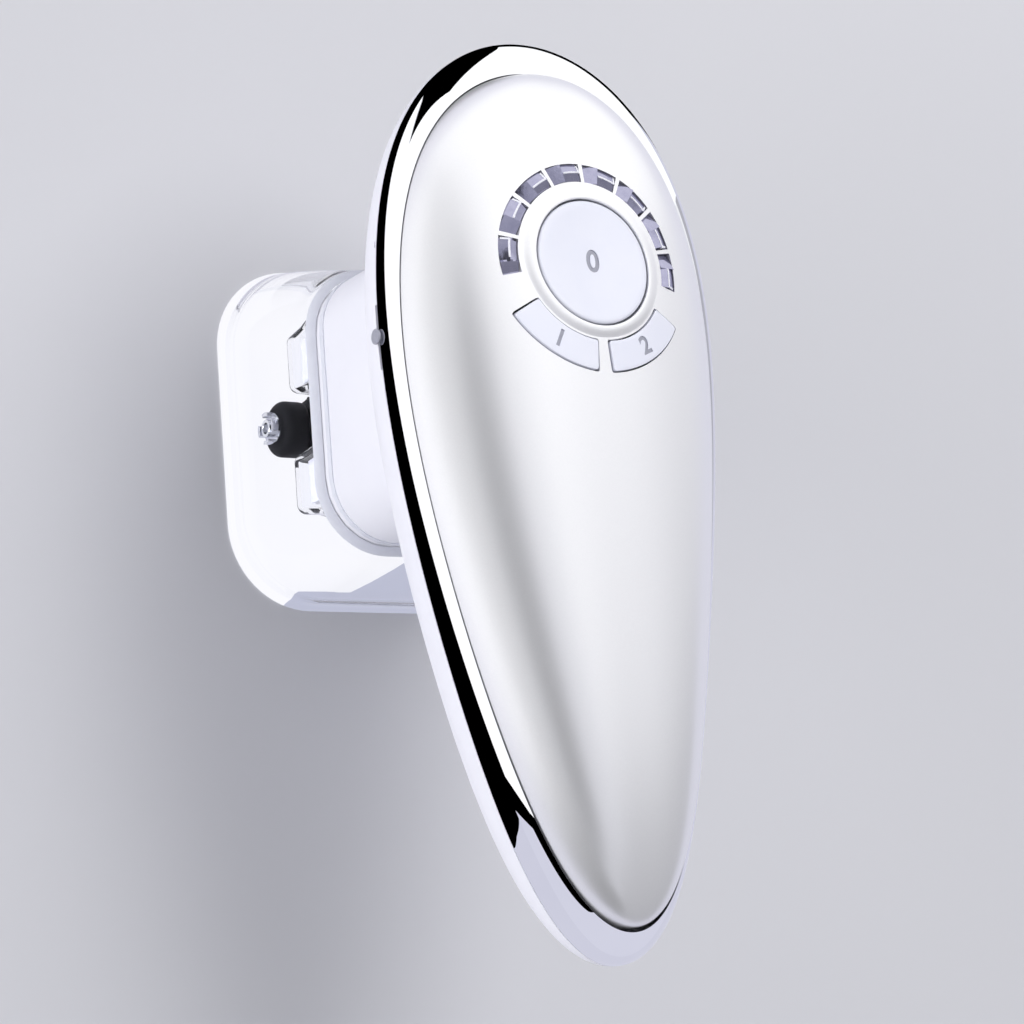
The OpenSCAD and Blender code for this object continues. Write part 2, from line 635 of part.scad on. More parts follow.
// One rounded lobe of rubber over the sleeve
module lobe(r, from, to) translate([0, 0, from]) rotate_extrude() difference() {
    e = min(lobe_edge_r, (to - from) / 2 - 0.1);
    union() {
        translate([sleeve_r + 0.02, 0]) square([r - e - sleeve_r, to - from]);
        translate([sleeve_r + 0.02, e]) square([r - sleeve_r - 0.02, to - from - 2 * e]);
        for (z = [e, to - from - e]) translate([r - e, z]) circle(r = e);
    }
    translate([0, -1]) square([sleeve_r + 0.02, to - from + 2]);
}
module lobe_ribs(r, from, to) for (a = [0:360 / rib_count:359]) rotate([0, 0, a])
    translate([r - rib_r / 2, 0, from + lobe_edge_r]) cylinder(r = rib_r, h = to - from - 2 * lobe_edge_r);
module rubber_core(from, to) translate([0, 0, from]) rotate_extrude()
    translate([sleeve_r + 0.02, 0]) square([1, to - from]);
module roller_rubber() color("#141416") at_roller() {
    third = 2 * inner_rubber_x / 3;
    rubber_core(-inner_rubber_x, inner_rubber_x);
    for (k = [0:2]) {
        lobe(k == 1 ? lobe_r : end_lobe_r, -inner_rubber_x + k * third, -inner_rubber_x + (k + 1) * third);
    }
    lobe_ribs(lobe_r, -third / 2, third / 2);
    for (side = [0, 1]) mirror([0, 0, side]) {
        middle = (outer_rubber_x + roller_half_l) / 2;
        rubber_core(outer_rubber_x, roller_half_l);
        lobe(lobe_r, outer_rubber_x, middle);
        lobe_ribs(lobe_r, outer_rubber_x, middle);
        lobe(end_lobe_r, middle, roller_half_l);
    }
}

module roller_end_caps() color("#D8D9DE") at_roller() for (side = [0, 1]) mirror([0, 0, side])
    translate([0, 0, roller_half_l + face_gap]) difference() {
        h = cap_flange_t + prong_l - face_gap;
        cylinder(r = end_cap_r, h = h);
        translate([0, 0, cap_flange_t]) difference() {
            cylinder(r = end_cap_r - 0.9, h = h);
            translate([0, 0, -1]) cylinder(r = 2.15, h = h);
        }
        translate([0, 0, cap_flange_t]) cylinder(r = 1.35, h = h);
        for (a = [0, 90]) rotate([0, 0, a + 45]) translate([0, 0, cap_flange_t + h / 2])
            difference() {
                cube([2 * end_cap_r + 2, 3, h], center = true);
                cylinder(r = 2.4, h = 2 * h, center = true);
            }
    }

module release_button() color("#DCE4F4") difference() {
    union() {
        intersection() {
            panel_block(button_lift, flange_z);
            at_panel(flange_z - 1) cylinder(r = button_r, h = 20);
        }
        at_panel(flange_z) cylinder(r = button_r + flange_w + 0.4, h = flange_t);
    }
    at_panel(crown_z + button_lift - button_dish + dish_r()) sphere(r = dish_r(), $fn = 128);
    at_panel(flange_z - 1) cylinder(r = stem_r + 0.05, h = 1 + stem_socket);
}
function dish_r() = let (r = button_r - 1.4) (r * r + button_dish * button_dish) / (2 * button_dish);

module release_stem() color("#C2C6CE") at_panel() {
    translate([0, 0, seat_z - poppet_t - face_gap])
        cylinder(r = stem_r, h = flange_z + stem_socket - 0.1 - seat_z + poppet_t + face_gap);
    translate([0, 0, seat_z - poppet_t - face_gap]) cylinder(r = poppet_r, h = poppet_t);
}

// Helix of the return spring: a round wire bent round the stem
module release_spring() color("#B8BBC2") {
    steps = spring_turns * 12;
    bottom = spring_seat_z + spring_wire_r;
    top = flange_z - spring_wire_r;
    points = [for (k = [0:steps], i = [0:5]) let (t = 30 * k, a = 60 * i,
        r = spring_r + spring_wire_r * cos(a), z = bottom + (top - bottom) * k / steps)
        [r * cos(t), r * sin(t) + panel_y, z + spring_wire_r * sin(a)]];
    sides = [for (k = [0:steps - 1], i = [0:5]) let (j = (i + 1) % 6, a = 6 * k)
        each [[a + i, a + 6 + j, a + j], [a + i, a + 6 + i, a + 6 + j]]];
    ends = [[for (i = [0:5]) i], [for (i = [5:-1:0]) 6 * steps + i]];
    polyhedron(points, concat(sides, ends));
}

module stem_guide() color("#DADDE4") at_panel(chassis_top + face_gap) difference() {
    union() {
        cylinder(r = guide_r, h = spring_seat_z - chassis_top - face_gap);
        cylinder(r = guide_r + 3, h = 2);
    }
    translate([0, 0, -1]) cylinder(r = stem_r + 0.05, h = chassis_z);
}

module valve_seat() color("#4A4C52") at_panel(seat_z) difference() {
    cylinder(r = seat_r, h = seat_h);
    translate([0, 0, -1]) cylinder(r = valve_bore_r, h = seat_h + 2);
}

module vacuum_manifold() color("#DFE1E8") difference() {
    at_head() union() {
        translate([-manifold_half_x, manifold_y - manifold_half_y, plate_top + face_gap])
            cube([2 * manifold_half_x, 2 * manifold_half_y, manifold_h - face_gap]);
        tube_end(manifold_y - manifold_half_y, -1);
    }
    at_panel(plate_top + 2) cylinder(r = seat_r + 0.05, h = manifold_h);
    at_head() translate([0, port_hole_y, plate_top - 1]) cylinder(r = port_hole_r, h = 5);
    at_head() translate([-2, valve_y - head_y, plate_top + 2])
        cube([4, port_hole_y - valve_y + head_y + port_hole_r, 3]);
    at_head() translate([tube_x, manifold_y - manifold_half_y - nipple_l - 1, tube_z])
        rotate([-90, 0, 0]) cylinder(r = nipple_r - 0.7, h = nipple_l + 5);
}
// Nipple that a vacuum tube is pushed over, at y from the neck's centre, pointing along side
module tube_end(y, side) translate([tube_x, y, tube_z]) rotate([-90 * side, 0, 0])
    translate([0, 0, -1]) cylinder(r = nipple_r, h = nipple_l + 1);

module moisture_filter() color("#F6F6F2") at_head() translate([0, port_hole_y, cup_h - face_gap - 0.8])
    cylinder(r = port_hole_r + 1, h = 0.8);

module vacuum_tube() color("#E4E6EA", 0.7) at_head() difference() {
    from = pump_y - head_y + pump_half + face_gap;
    length = manifold_y - manifold_half_y - face_gap - from;
    translate([tube_x, from, tube_z]) rotate([-90, 0, 0]) difference() {
        cylinder(r = tube_r, h = length);
        translate([0, 0, -1]) cylinder(r = nipple_r + 0.05, h = length + 2);
    }
}

module at_pump(x) translate([x, pump_y, pump_z]) rotate([0, 90, 0]) children();

module pump_motor() color("#B7BAC0") at_pump(motor_x) difference() {
    union() {
        translate([0, 0, 1.5]) cylinder(r = motor_r, h = motor_l - 1.5);
        cylinder(r = motor_r / 3, h = 2);
    }
    translate([0, 0, motor_l - 5]) cylinder(r = shaft_r + 0.05, h = 6);
}

module pump_head() color("#3B3D42") difference() {
    union() {
        translate([pump_x + face_gap, pump_y - pump_half, pump_z - pump_half])
            cube([pump_l - face_gap, 2 * pump_half, 2 * pump_half]);
        at_head() tube_end(pump_y - head_y + pump_half, 1);
    }
    at_pump(pump_x - 1) cylinder(r = crank_r + crank_throw + 1.2, h = crank_bay + 1);
    translate([tube_x, pump_y + pump_half - 6, tube_z]) rotate([-90, 0, 0])
        cylinder(r = nipple_r - 0.7, h = nipple_l + 7);
}

module pump_crank() color("#8E9096") at_pump(pump_x) {
    translate([0, 0, -4.5]) cylinder(r = shaft_r, h = 4.5 + crank_gap + 1);
    translate([crank_throw, 0, crank_gap]) cylinder(r = crank_r, h = 3);
    translate([0, 0, crank_gap + 2]) cylinder(r = shaft_r + 0.6, h = 3);
}

module pump_bracket() color("#C9CCD2") difference() {
    union() {
        translate([motor_x + 1, pump_y - pump_half + 2, plate_top + face_gap])
            cube([pump_len - 2, 2 * pump_half - 4, pump_z - pump_half - plate_top - 2 * face_gap]);
        translate([motor_x + 6, pump_y - 9, plate_top + face_gap])
            cube([motor_l - 12, 18, pump_z - motor_r * 0.6 - plate_top]);
    }
    at_pump(motor_x - 1) cylinder(r = motor_r + lie_gap, h = motor_l + 1);
}

module chassis() color("#D6D8DE") difference() {
    union() {
        translate([0, handle_y, chassis_z]) linear_extrude(chassis_t)
            polygon([for (i = [0:egg_n - 1]) toward(egg(360 * i / egg_n), chassis_fill)]);
        at_panel(chassis_top - 0.5) for (sx = [-1, 1], sy = [-1, 1])
            translate([sx * board_r * 0.75, sy * board_r * 0.5, 0])
                cylinder(r = 2.2, h = board_z - face_gap - chassis_top + 0.5);
    }
    at_panel(chassis_z - 1) cylinder(r = stem_r + 0.6, h = chassis_t + 2);
    for (b = casing_bosses) translate([b[0], b[1] + handle_y, chassis_z - 1])
        cylinder(r = screw_r + screw_fit, h = chassis_t + 2);
    translate([-9, handle_y - handle_half_l, chassis_z - 1])
        cube([18, port_y + 6 - handle_y + handle_half_l, chassis_t + 2]);
}

module main_circuit_board() color("#2F6B4A") at_panel(board_z) difference() {
    union() {
        cylinder(r = board_r, h = board_t);
        translate([-12, -board_r - board_tail, 0]) cube([24, board_r + board_tail, board_t]);
    }
    translate([0, 0, -1]) cylinder(r = spring_r + spring_wire_r + 1.5, h = board_t + 2);
}

module key_switches() color("#3A3C40") at_panel(board_top + face_gap) for (side = [-1, 1])
    rotate([0, 0, -90 + side * (key_gap_angle + key_end_angle) / 2])
        translate([(key_in_r + key_out_r) / 2, 0, 0]) {
            translate([-3, -3, 0]) cube([6, 6, switch_h - 1]);
            cylinder(r = 1.6, h = switch_h - face_gap);
        }

module level_lights() color("#F4F0D8") at_panel(board_top + face_gap) for (k = [0:window_count - 1])
    rotate([0, 0, window_start(k) + window_angle / 2])
        translate([(window_in_r + window_out_r) / 2 - 1, -1.5, 0]) cube([2, 3, 0.9]);

module level_windows() color("#C6C8DC", 0.8) {
    intersection() {
        panel_block(-0.1, carrier_z);
        for (k = [0:window_count - 1]) arc(window_in_r, window_out_r, window_start(k),
            window_start(k) + window_angle, carrier_z, 20);
    }
    arc(window_in_r - 0.5, window_out_r + 0.5, window_start(0) - 1,
        window_start(window_count - 1) + window_angle + 1, carrier_z, carrier_t);
}

module key_arc(side, gap, z, h) {
    slack = at_radius(gap, key_in_r);
    from = side > 0 ? -90 + key_gap_angle : -90 - key_end_angle;
    arc(key_in_r - gap, key_out_r + gap, from - slack,
        from + key_end_angle - key_gap_angle + slack, z, h);
}
module mode_key(side) color("#DCE4F4") {
    intersection() {
        panel_block(key_proud, flange_z);
        key_arc(side, 0, flange_z - 1, 20);
    }
    key_arc(side, flange_w, flange_z, flange_t);
}
module mode_key_left() mode_key(-1);
module mode_key_right() mode_key(1);

module battery_cell() color("#5E86B4") translate([0, cell_y, cell_z]) rotate([-90, 0, 0]) union() {
    cylinder(r = cell_r, h = cell_l - 1);
    cylinder(r = cell_r / 3, h = cell_l);
}

module battery_cradle() color("#CDD0D8") difference() {
    translate([-cell_r - 1.6, cell_y - cradle_end, chassis_top + face_gap])
        cube([2 * cell_r + 3.2, cell_l + 2 * cradle_end, cell_r * 0.8 + 1.5]);
    translate([0, cell_y - 0.3, cell_z]) rotate([-90, 0, 0])
        cylinder(r = cell_r + lie_gap, h = cell_l + 0.6);
}

module charging_port() color("#B4B7BE") translate([0, port_y, port_z()]) difference() {
    translate([-port_half_w, -port_half_h, 0]) cube([2 * port_half_w, 2 * port_half_h, port_l]);
    difference() {
        translate([0.5 - port_half_w, 0.5 - port_half_h, -1])
            cube([2 * port_half_w - 1, 2 * port_half_h - 1, port_l]);
        translate([-3.4, -0.35, -0.5]) cube([6.8, 0.7, port_l]);
    }
}
function port_z() = rear_z(0, port_y - handle_y + port_half_h) + 0.4;

module charge_board() color("#2F6B4A") translate([-7.4, port_y - 2.6, port_z() + port_l + face_gap])
    cube([14.8, 8, board_t]);

module slide_knob() color("#9EA0AC") translate([0, knob_y, knob_z()]) {
    translate([-knob_x() - knob_t, 0, 0]) rotate([0, 90, 0]) cylinder(r = knob_r, h = knob_t);
    translate([-knob_x() - 0.2, -1, -0.6]) cube([knob_x() + 0.2 - slide_x() + 2, 2, 1.2]);
}
function slide_x() = knob_x() - 6.6;

module slide_switch() color("#6A6C74") difference() {
    translate([-slide_x(), knob_y - knob_travel - 3, chassis_top + face_gap])
        cube([6, 2 * knob_travel + 6, knob_z() + 2.4 - chassis_top - face_gap]);
    translate([-slide_x() - 1, knob_y - knob_travel - 1.3, knob_z() - 0.9])
        cube([3.4, 2 * knob_travel + 2.6, 1.8]);
}

module screw(length) {
    cylinder(r = screw_r, h = length);
    translate([0, 0, -screw_head_h]) difference() {
        cylinder(r = screw_head_r, h = screw_head_h);
        for (a = [0, 90]) rotate([0, 0, a]) cube([2.8, 0.6, 1.6], center = true);
    }
}
module casing_screws() color("#8B8E96") for (b = casing_bosses)
    translate([b[0], b[1] + handle_y, chassis_z - screw_seat - face_gap]) screw(screw_l);
module head_screws() color("#8B8E96") at_head() for (p = head_screw_places)
    translate([p[0], p[1], cup_h + screw_head_h - face_gap]) screw(head_screw_l);

front_cover();
trim_ring();
rear_casing();
neck_housing();
head_plate();
suction_cup();
cup_seal();
light_window_upper();
light_window_lower();
reflector_upper();
reflector_lower();
light_board_upper();
light_board_lower();
roller_hangers();
roller_axle();
roller_sleeves();
roller_rubber();
roller_end_caps();
release_button();
release_stem();
release_spring();
stem_guide();
valve_seat();
vacuum_manifold();
moisture_filter();
vacuum_tube();
pump_motor();
pump_head();
pump_crank();
pump_bracket();
chassis();
main_circuit_board();
key_switches();
level_lights();
level_windows();
mode_key_left();
mode_key_right();
battery_cell();
battery_cradle();
charging_port();
charge_board();
slide_knob();
slide_switch();
casing_screws();
head_screws();
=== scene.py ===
"""Looks of the electric cupping massager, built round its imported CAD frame.

The handle is an egg-shaped shell of pearl lacquer in a mirror-plated trim ring, over a satin white
casing. A square neck carries a clear suction cup with a rubber roller and two light windows.
Sizes are in millimetres, turned to metres by MM, in the frame of the CAD model.
"""
from __future__ import annotations

import json
import logging
import math
from dataclasses import dataclass, field
from enum import Enum
from typing import Callable, Sequence

import bmesh
import bpy
from mathutils import Matrix, Vector


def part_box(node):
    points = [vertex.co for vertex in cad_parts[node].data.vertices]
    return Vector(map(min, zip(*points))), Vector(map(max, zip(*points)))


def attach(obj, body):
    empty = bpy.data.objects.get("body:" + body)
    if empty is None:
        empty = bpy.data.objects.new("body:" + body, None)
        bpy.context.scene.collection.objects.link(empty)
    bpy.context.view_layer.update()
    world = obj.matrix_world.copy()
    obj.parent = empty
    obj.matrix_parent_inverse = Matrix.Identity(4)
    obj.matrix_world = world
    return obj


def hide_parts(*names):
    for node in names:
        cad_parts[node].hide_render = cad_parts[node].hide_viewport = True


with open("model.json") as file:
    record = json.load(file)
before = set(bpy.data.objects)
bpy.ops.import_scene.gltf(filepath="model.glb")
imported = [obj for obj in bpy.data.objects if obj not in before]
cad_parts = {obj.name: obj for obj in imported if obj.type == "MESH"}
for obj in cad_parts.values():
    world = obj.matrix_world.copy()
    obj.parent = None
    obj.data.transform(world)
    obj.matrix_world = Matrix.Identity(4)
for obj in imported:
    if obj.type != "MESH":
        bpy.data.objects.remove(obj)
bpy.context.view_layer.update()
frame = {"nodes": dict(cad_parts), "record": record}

MM = 0.001
LOG = logging.getLogger("massager")
Point = tuple[float, float, float]
# A place in plan, or a pair such as inner and outer radius or first and last angle.
Plan = tuple[float, float]
Ring = list[Point]


class Slot(Enum):
    """Material slots of the record that the pieces take their finish from."""

    PEARL = "pearl_white_plastic"
    TRIM = "mirror_trim"
    WHITE = "white_plastic"
    CLEAR = "clear_plastic"
    SMOKY = "smoky_clear_plastic"
    PALE_BLUE = "pale_blue_plastic"
    GREY = "grey_plastic"
    INNER = "inner_plastic"
    RUBBER = "black_rubber"
    SEAL = "seal_rubber"
    CAPS = "plated_caps"
    STEEL = "steel"
    BOARD = "board"
    WHITE_BOARD = "white_board"
    CELL = "cell_wrap"
    BLACK = "black_plastic"
    FELT = "filter_felt"
    LAMP = "lamp"


class Body(Enum):
    """Rigid bodies of the CAD model that the pieces ride on."""

    HOUSING = "housing"
    PLUNGER = "release_plunger"
    LEFT_KEY = "left_key"
    RIGHT_KEY = "right_key"
    SLIDER = "power_slider"
    ROLLER = "roller"


def linear(hex_colour: str) -> tuple[float, float, float, float]:
    """Turn an sRGB colour into the linear values that the shaders take.

    Args:
        hex_colour: Six hexadecimal digits, with or without a leading hash.

    Returns:
        Linear red, green and blue, and an alpha of 1.
    """
    digits = hex_colour.lstrip("#")
    parts = [int(digits[i:i + 2], 16) / 255 for i in (0, 2, 4)]
    values = [p / 12.92 if p <= 0.04045 else ((p + 0.055) / 1.055) ** 2.4 for p in parts]
    return values[0], values[1], values[2], 1.0


def add_node(tree: bpy.types.NodeTree, kind: str, settings: dict | None = None,
             values: dict | None = None, links: dict | None = None) -> bpy.types.Node:
    """Add one node with its settings, its socket values and its links.

    Args:
        tree: Node tree that the node goes into.
        kind: Blender's name of the node type.
        settings: Attributes to set on the node.
        values: Input socket name or number to its value.
        links: Input socket name or number to the output socket that feeds it.

    Returns:
        The new node.
    """
    node = tree.nodes.new(kind)
    for name, value in (settings or {}).items():
        setattr(node, name, value)
    for name, value in (values or {}).items():
        node.inputs[name].default_value = value
    for name, source in (links or {}).items():
        tree.links.new(source, node.inputs[name])
    return node


def blank_material(name: str) -> bpy.types.Material:
    """Make a material with an empty node tree.

    Args:
        name: Name of the material.

    Returns:
        The material, whose surface has yet to be linked.
    """
    material = bpy.data.materials.new(name)
    material.use_nodes = True
    material.node_tree.nodes.clear()
    return material


@dataclass(frozen=True)
class Finish:
    """A moulded, plated or turned surface with fine colour drift and grain.

    The colour drifts between two near shades over patches of drift_mm, and the surface has a relief of
    grain_mm wide and grain_depth_mm deep, which breaks up the edges of reflections.
    """

    name: str
    shade: str
    second_shade: str
    roughness: float
    roughness_drift: float = 0.04
    metallic: float = 0.0
    ior: float = 1.5
    coat: float = 0.0
    coat_roughness: float = 0.05
    transmission: float = 0.0
    sheen: float = 0.0
    drift_mm: float = 6.0
    grain_mm: float = 0.4
    grain_depth_mm: float = 0.004
    stretch: tuple[float, float, float] = (1.0, 1.0, 1.0)
    lets_light: bool = False

    def material(self) -> bpy.types.Material:
        """Build the finish's material.

        Returns:
            The material, with a noise-driven colour, roughness and relief.
        """
        material = blank_material(self.name)
        tree = material.node_tree
        place = add_node(tree, "ShaderNodeTexCoord")
        turned = add_node(tree, "ShaderNodeMapping", values={"Scale": self.stretch},
                          links={"Vector": place.outputs["Object"]})
        drift = add_node(tree, "ShaderNodeTexNoise",
                         values={"Scale": 1 / (self.drift_mm * MM), "Detail": 3.0},
                         links={"Vector": turned.outputs[0]})
        grain = add_node(tree, "ShaderNodeTexNoise",
                         values={"Scale": 1 / (self.grain_mm * MM), "Detail": 2.0},
                         links={"Vector": turned.outputs[0]})
        colour = add_node(tree, "ShaderNodeMix", {"data_type": "RGBA"},
                          {6: linear(self.shade), 7: linear(self.second_shade)},
                          {0: drift.outputs["Fac"]})
        rough = add_node(tree, "ShaderNodeMapRange",
                         values={"To Min": max(self.roughness - self.roughness_drift, 0.0),
                                 "To Max": self.roughness + self.roughness_drift},
                         links={"Value": grain.outputs["Fac"]})
        relief = add_node(tree, "ShaderNodeBump",
                          values={"Strength": 1.0, "Distance": self.grain_depth_mm * MM},
                          links={"Height": grain.outputs["Fac"]})
        surface = add_node(tree, "ShaderNodeBsdfPrincipled",
                           values={"Metallic": self.metallic, "IOR": self.ior,
                                   "Coat Weight": self.coat, "Coat Roughness": self.coat_roughness,
                                   "Transmission Weight": self.transmission,
                                   "Sheen Weight": self.sheen},
                           links={"Base Color": colour.outputs[2], "Roughness": rough.outputs[0],
                                  "Normal": relief.outputs[0]})
        shown = surface.outputs[0]
        # Clear pieces let the lamps' light straight through, so that their shadows stay pale.
        if self.lets_light:
            path = add_node(tree, "ShaderNodeLightPath")
            open_way = add_node(tree, "ShaderNodeBsdfTransparent", values={0: linear(self.shade)})
            shown = add_node(tree, "ShaderNodeMixShader",
                             links={0: path.outputs["Is Shadow Ray"], 1: shown,
                                    2: open_way.outputs[0]}).outputs[0]
        add_node(tree, "ShaderNodeOutputMaterial", links={"Surface": shown})
        return material


# Each finish is named for the real material and how its surface was made.
FINISHES: dict[Slot, Finish] = {
    # Pearl lacquer over ABS: fine mica gives a soft metallic glow under a thin clear coat.
    Slot.PEARL: Finish("pearl_lacquer_on_abs", "#F3F3F6", "#FAFAFC", 0.34, 0.03, 0.7, coat=0.1,
                       coat_roughness=0.15, drift_mm=0.35, grain_mm=0.25, grain_depth_mm=0.0015),
    # Nickel-chrome electroplating on polished ABS: a near-perfect mirror with a faint long waviness.
    Slot.TRIM: Finish("mirror_chrome_plating", "#EDEEF3", "#F4F5F8", 0.002, 0.001, 1.0, drift_mm=12,
                      grain_mm=14, grain_depth_mm=0.002),
    # Satin white ABS, moulded in a fine-sparked tool.
    Slot.WHITE: Finish("satin_white_abs", "#EFEFF7", "#F6F6FC", 0.32, 0.05, drift_mm=18, grain_mm=0.5,
                       grain_depth_mm=0.003),
    # Clear polycarbonate from a polished mould: faint flow lines bend what is seen through it.
    Slot.CLEAR: Finish("clear_polycarbonate", "#FAFBFF", "#FFFFFF", 0.002, 0.001, ior=1.2,
                       transmission=1.0, drift_mm=20, grain_mm=7, grain_depth_mm=0.006,
                       lets_light=True),
    # Smoky acrylic over a metallised light guide: its facets turn from near black to pale violet.
    Slot.SMOKY: Finish("smoky_acrylic_light_guide", "#9E9DB8", "#BDBCD3", 0.1, 0.03, 0.9, coat=0.1,
                       drift_mm=2, grain_mm=1.0, grain_depth_mm=0.012),
    # Glossy pale ABS of the buttons, polished, with a slight milky drift.
    Slot.PALE_BLUE: Finish("glossy_pale_blue_abs", "#E8EAF7", "#F0F1FA", 0.25, 0.04, coat=0.25,
                           coat_roughness=0.1, drift_mm=9, grain_mm=0.6, grain_depth_mm=0.002),
    # Grey ABS with a fine moulded grain.
    Slot.GREY: Finish("grained_grey_abs", "#9A9BA8", "#A8A9B5", 0.42, 0.06, drift_mm=1.5, grain_mm=0.2,
                      grain_depth_mm=0.01),
    # Uncoloured nylon of the inner carriers, dull, with moulding swirl.
    Slot.INNER: Finish("natural_nylon_moulding", "#D4D6DC", "#E0E2E7", 0.5, 0.06, drift_mm=8,
                       grain_mm=0.6, grain_depth_mm=0.01),
    # Moulded silicone rubber, black and satin, which picks up fine dust.
    Slot.RUBBER: Finish("moulded_black_silicone", "#08080C", "#101015", 0.55, 0.08, ior=1.25,
                        drift_mm=2.5, grain_mm=0.3, grain_depth_mm=0.012),
    # Translucent silicone of the seals, waxy to the eye.
    Slot.SEAL: Finish("milky_silicone_seal", "#DDDFEA", "#E8EAF2", 0.4, 0.05, drift_mm=3, grain_mm=0.4,
                      grain_depth_mm=0.006),
    # Bright nickel plating on turned brass: tool marks run round the cap.
    Slot.CAPS: Finish("bright_nickel_plating", "#DFE0E4", "#EBECEF", 0.08, 0.03, 1.0, drift_mm=2,
                      grain_mm=0.15, grain_depth_mm=0.002, stretch=(6.0, 1.0, 1.0)),
    # Drawn steel: fine lines along the drawing direction.
    Slot.STEEL: Finish("drawn_steel", "#A9ABB0", "#BDBFC4", 0.26, 0.08, 1.0, drift_mm=1.5,
                       grain_mm=0.2, grain_depth_mm=0.004, stretch=(0.2, 1.0, 1.0)),
    # Glass-epoxy laminate with green solder mask over the weave.
    Slot.BOARD: Finish("green_solder_mask", "#1F5A3A", "#2A6C47", 0.3, 0.06, coat=0.3, drift_mm=2,
                       grain_mm=0.6, grain_depth_mm=0.01),
    # Glass-epoxy laminate with white solder mask.
    Slot.WHITE_BOARD: Finish("white_solder_mask", "#E6E9E6", "#EFF1EF", 0.3, 0.05, drift_mm=2,
                             grain_mm=0.6, grain_depth_mm=0.008),
    # Heat-shrunk PVC sleeve with small wrinkles.
    Slot.CELL: Finish("blue_shrink_sleeve", "#3F6C9E", "#4A79AC", 0.28, 0.06, drift_mm=4, grain_mm=2,
                      grain_depth_mm=0.03),
    # Black glass-filled nylon, dull, with a flecked grain.
    Slot.BLACK: Finish("black_glass_filled_nylon", "#1B1C1F", "#26272B", 0.5, 0.08, drift_mm=1,
                       grain_mm=0.3, grain_depth_mm=0.01),
    # Needled polyester felt.
    Slot.FELT: Finish("needled_felt", "#E4E4DE", "#F2F2EC", 0.85, 0.08, sheen=0.4, drift_mm=0.6,
                      grain_mm=0.15, grain_depth_mm=0.06),
    # Cast epoxy of the small lamps, faintly yellow.
    Slot.LAMP: Finish("cast_epoxy_lamp", "#F2EED2", "#F8F5E2", 0.18, 0.03, coat=0.3, drift_mm=1,
                      grain_mm=0.5, grain_depth_mm=0.004),
}
MATERIALS: dict[Slot, bpy.types.Material] = {}
# Slot of each CAD node, from the record.
SLOT_OF = {part["node"]: Slot(part["material_slot"]) for part in frame["record"]["subparts"]}


def dress(piece: bpy.types.Object, slot: Slot) -> None:
    """Give a piece or a CAD node the finish of a slot.

    Args:
        piece: The mesh object.
        slot: The slot whose finish it takes.
    """
    if slot not in MATERIALS:
        MATERIALS[slot] = FINISHES[slot].material()
    if not piece.data.materials:
        piece.data.materials.append(MATERIALS[slot])
    for index in range(len(piece.data.materials)):
        piece.data.materials[index] = MATERIALS[slot]


def hand_over(piece: bpy.types.Object, body: Body, slot: Slot, *nodes: str) -> None:
    """Dress a finished piece, tie it to its body and let it stand for its CAD nodes.

    Args:
        piece: The finished mesh object.
        body: The body that it rides on.
        slot: The slot whose finish it takes.
        nodes: CAD nodes that it stands for.
    """
    dress(piece, slot)
    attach(piece, body.value)
    if nodes:
        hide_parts(*nodes)
    LOG.info("%s: %d faces, on %s", piece.name, len(piece.data.polygons), body.value)


def select_only(piece: bpy.types.Object) -> None:
    """Make one object the only selected one and the active one."""
    bpy.ops.object.select_all(action="DESELECT")
    piece.select_set(True)
    bpy.context.view_layer.objects.active = piece


def named_active(name: str) -> bpy.types.Object:
    """Name the active object and its mesh, and return it.

    Args:
        name: The new name.

    Returns:
        The active object.
    """
    piece = bpy.context.active_object
    piece.name = name
    piece.data.name = name
    return piece


def primitive(name: str, add: Callable, **options: object) -> bpy.types.Object:
    """Add one of Blender's mesh primitives under a name, as the only selected object.

    Args:
        name: Name of the new object.
        add: Operator that adds the primitive.
        options: Settings of the operator.

    Returns:
        The new object.
    """
    bpy.ops.object.select_all(action="DESELECT")
    add(**options)
    return named_active(name)


def joined(name: str, pieces: Sequence[bpy.types.Object]) -> bpy.types.Object:
    """Join meshes into one object and name it.

    Args:
        name: Name of the joined object.
        pieces: The meshes, of which the first one stays.

    Returns:
        The joined object.
    """
    select_only(pieces[0])
    for piece in pieces:
        piece.select_set(True)
    if len(pieces) > 1:
        bpy.ops.object.join()
    return named_active(name)


def pick_faces(piece: bpy.types.Object, wanted: Callable[[bmesh.types.BMFace], bool]) -> None:
    """Enter edit mode with only the faces selected that a test wants.

    Args:
        piece: The mesh object.
        wanted: Test of a face.
    """
    bpy.ops.object.mode_set(mode="EDIT")
    bpy.ops.mesh.select_mode(type="FACE")
    bpy.ops.mesh.select_all(action="DESELECT")
    for face in bmesh.from_edit_mesh(piece.data).faces:
        face.select_set(wanted(face))
    bmesh.update_edit_mesh(piece.data)


def settle(piece: bpy.types.Object) -> None:
    """Apply a piece's place, turn and scale, so that its object sits at the origin."""
    select_only(piece)
    bpy.ops.object.transform_apply(location=True, rotation=True, scale=True)


def apply_modifier(piece: bpy.types.Object, kind: str, **settings: object) -> None:
    """Add a modifier with its settings and apply it.

    Args:
        piece: The object that it works on.
        kind: Blender's name of the modifier type.
        settings: Attributes to set on the modifier.
    """
    select_only(piece)
    modifier = piece.modifiers.new(kind.lower(), kind)
    for name, value in settings.items():
        setattr(modifier, name, value)
    bpy.ops.object.modifier_apply(modifier=modifier.name)


def smooth(piece: bpy.types.Object, degrees: float = 35.0) -> None:
    """Shade a piece smooth, except over edges sharper than an angle."""
    select_only(piece)
    bpy.ops.object.shade_smooth_by_angle(angle=math.radians(degrees))


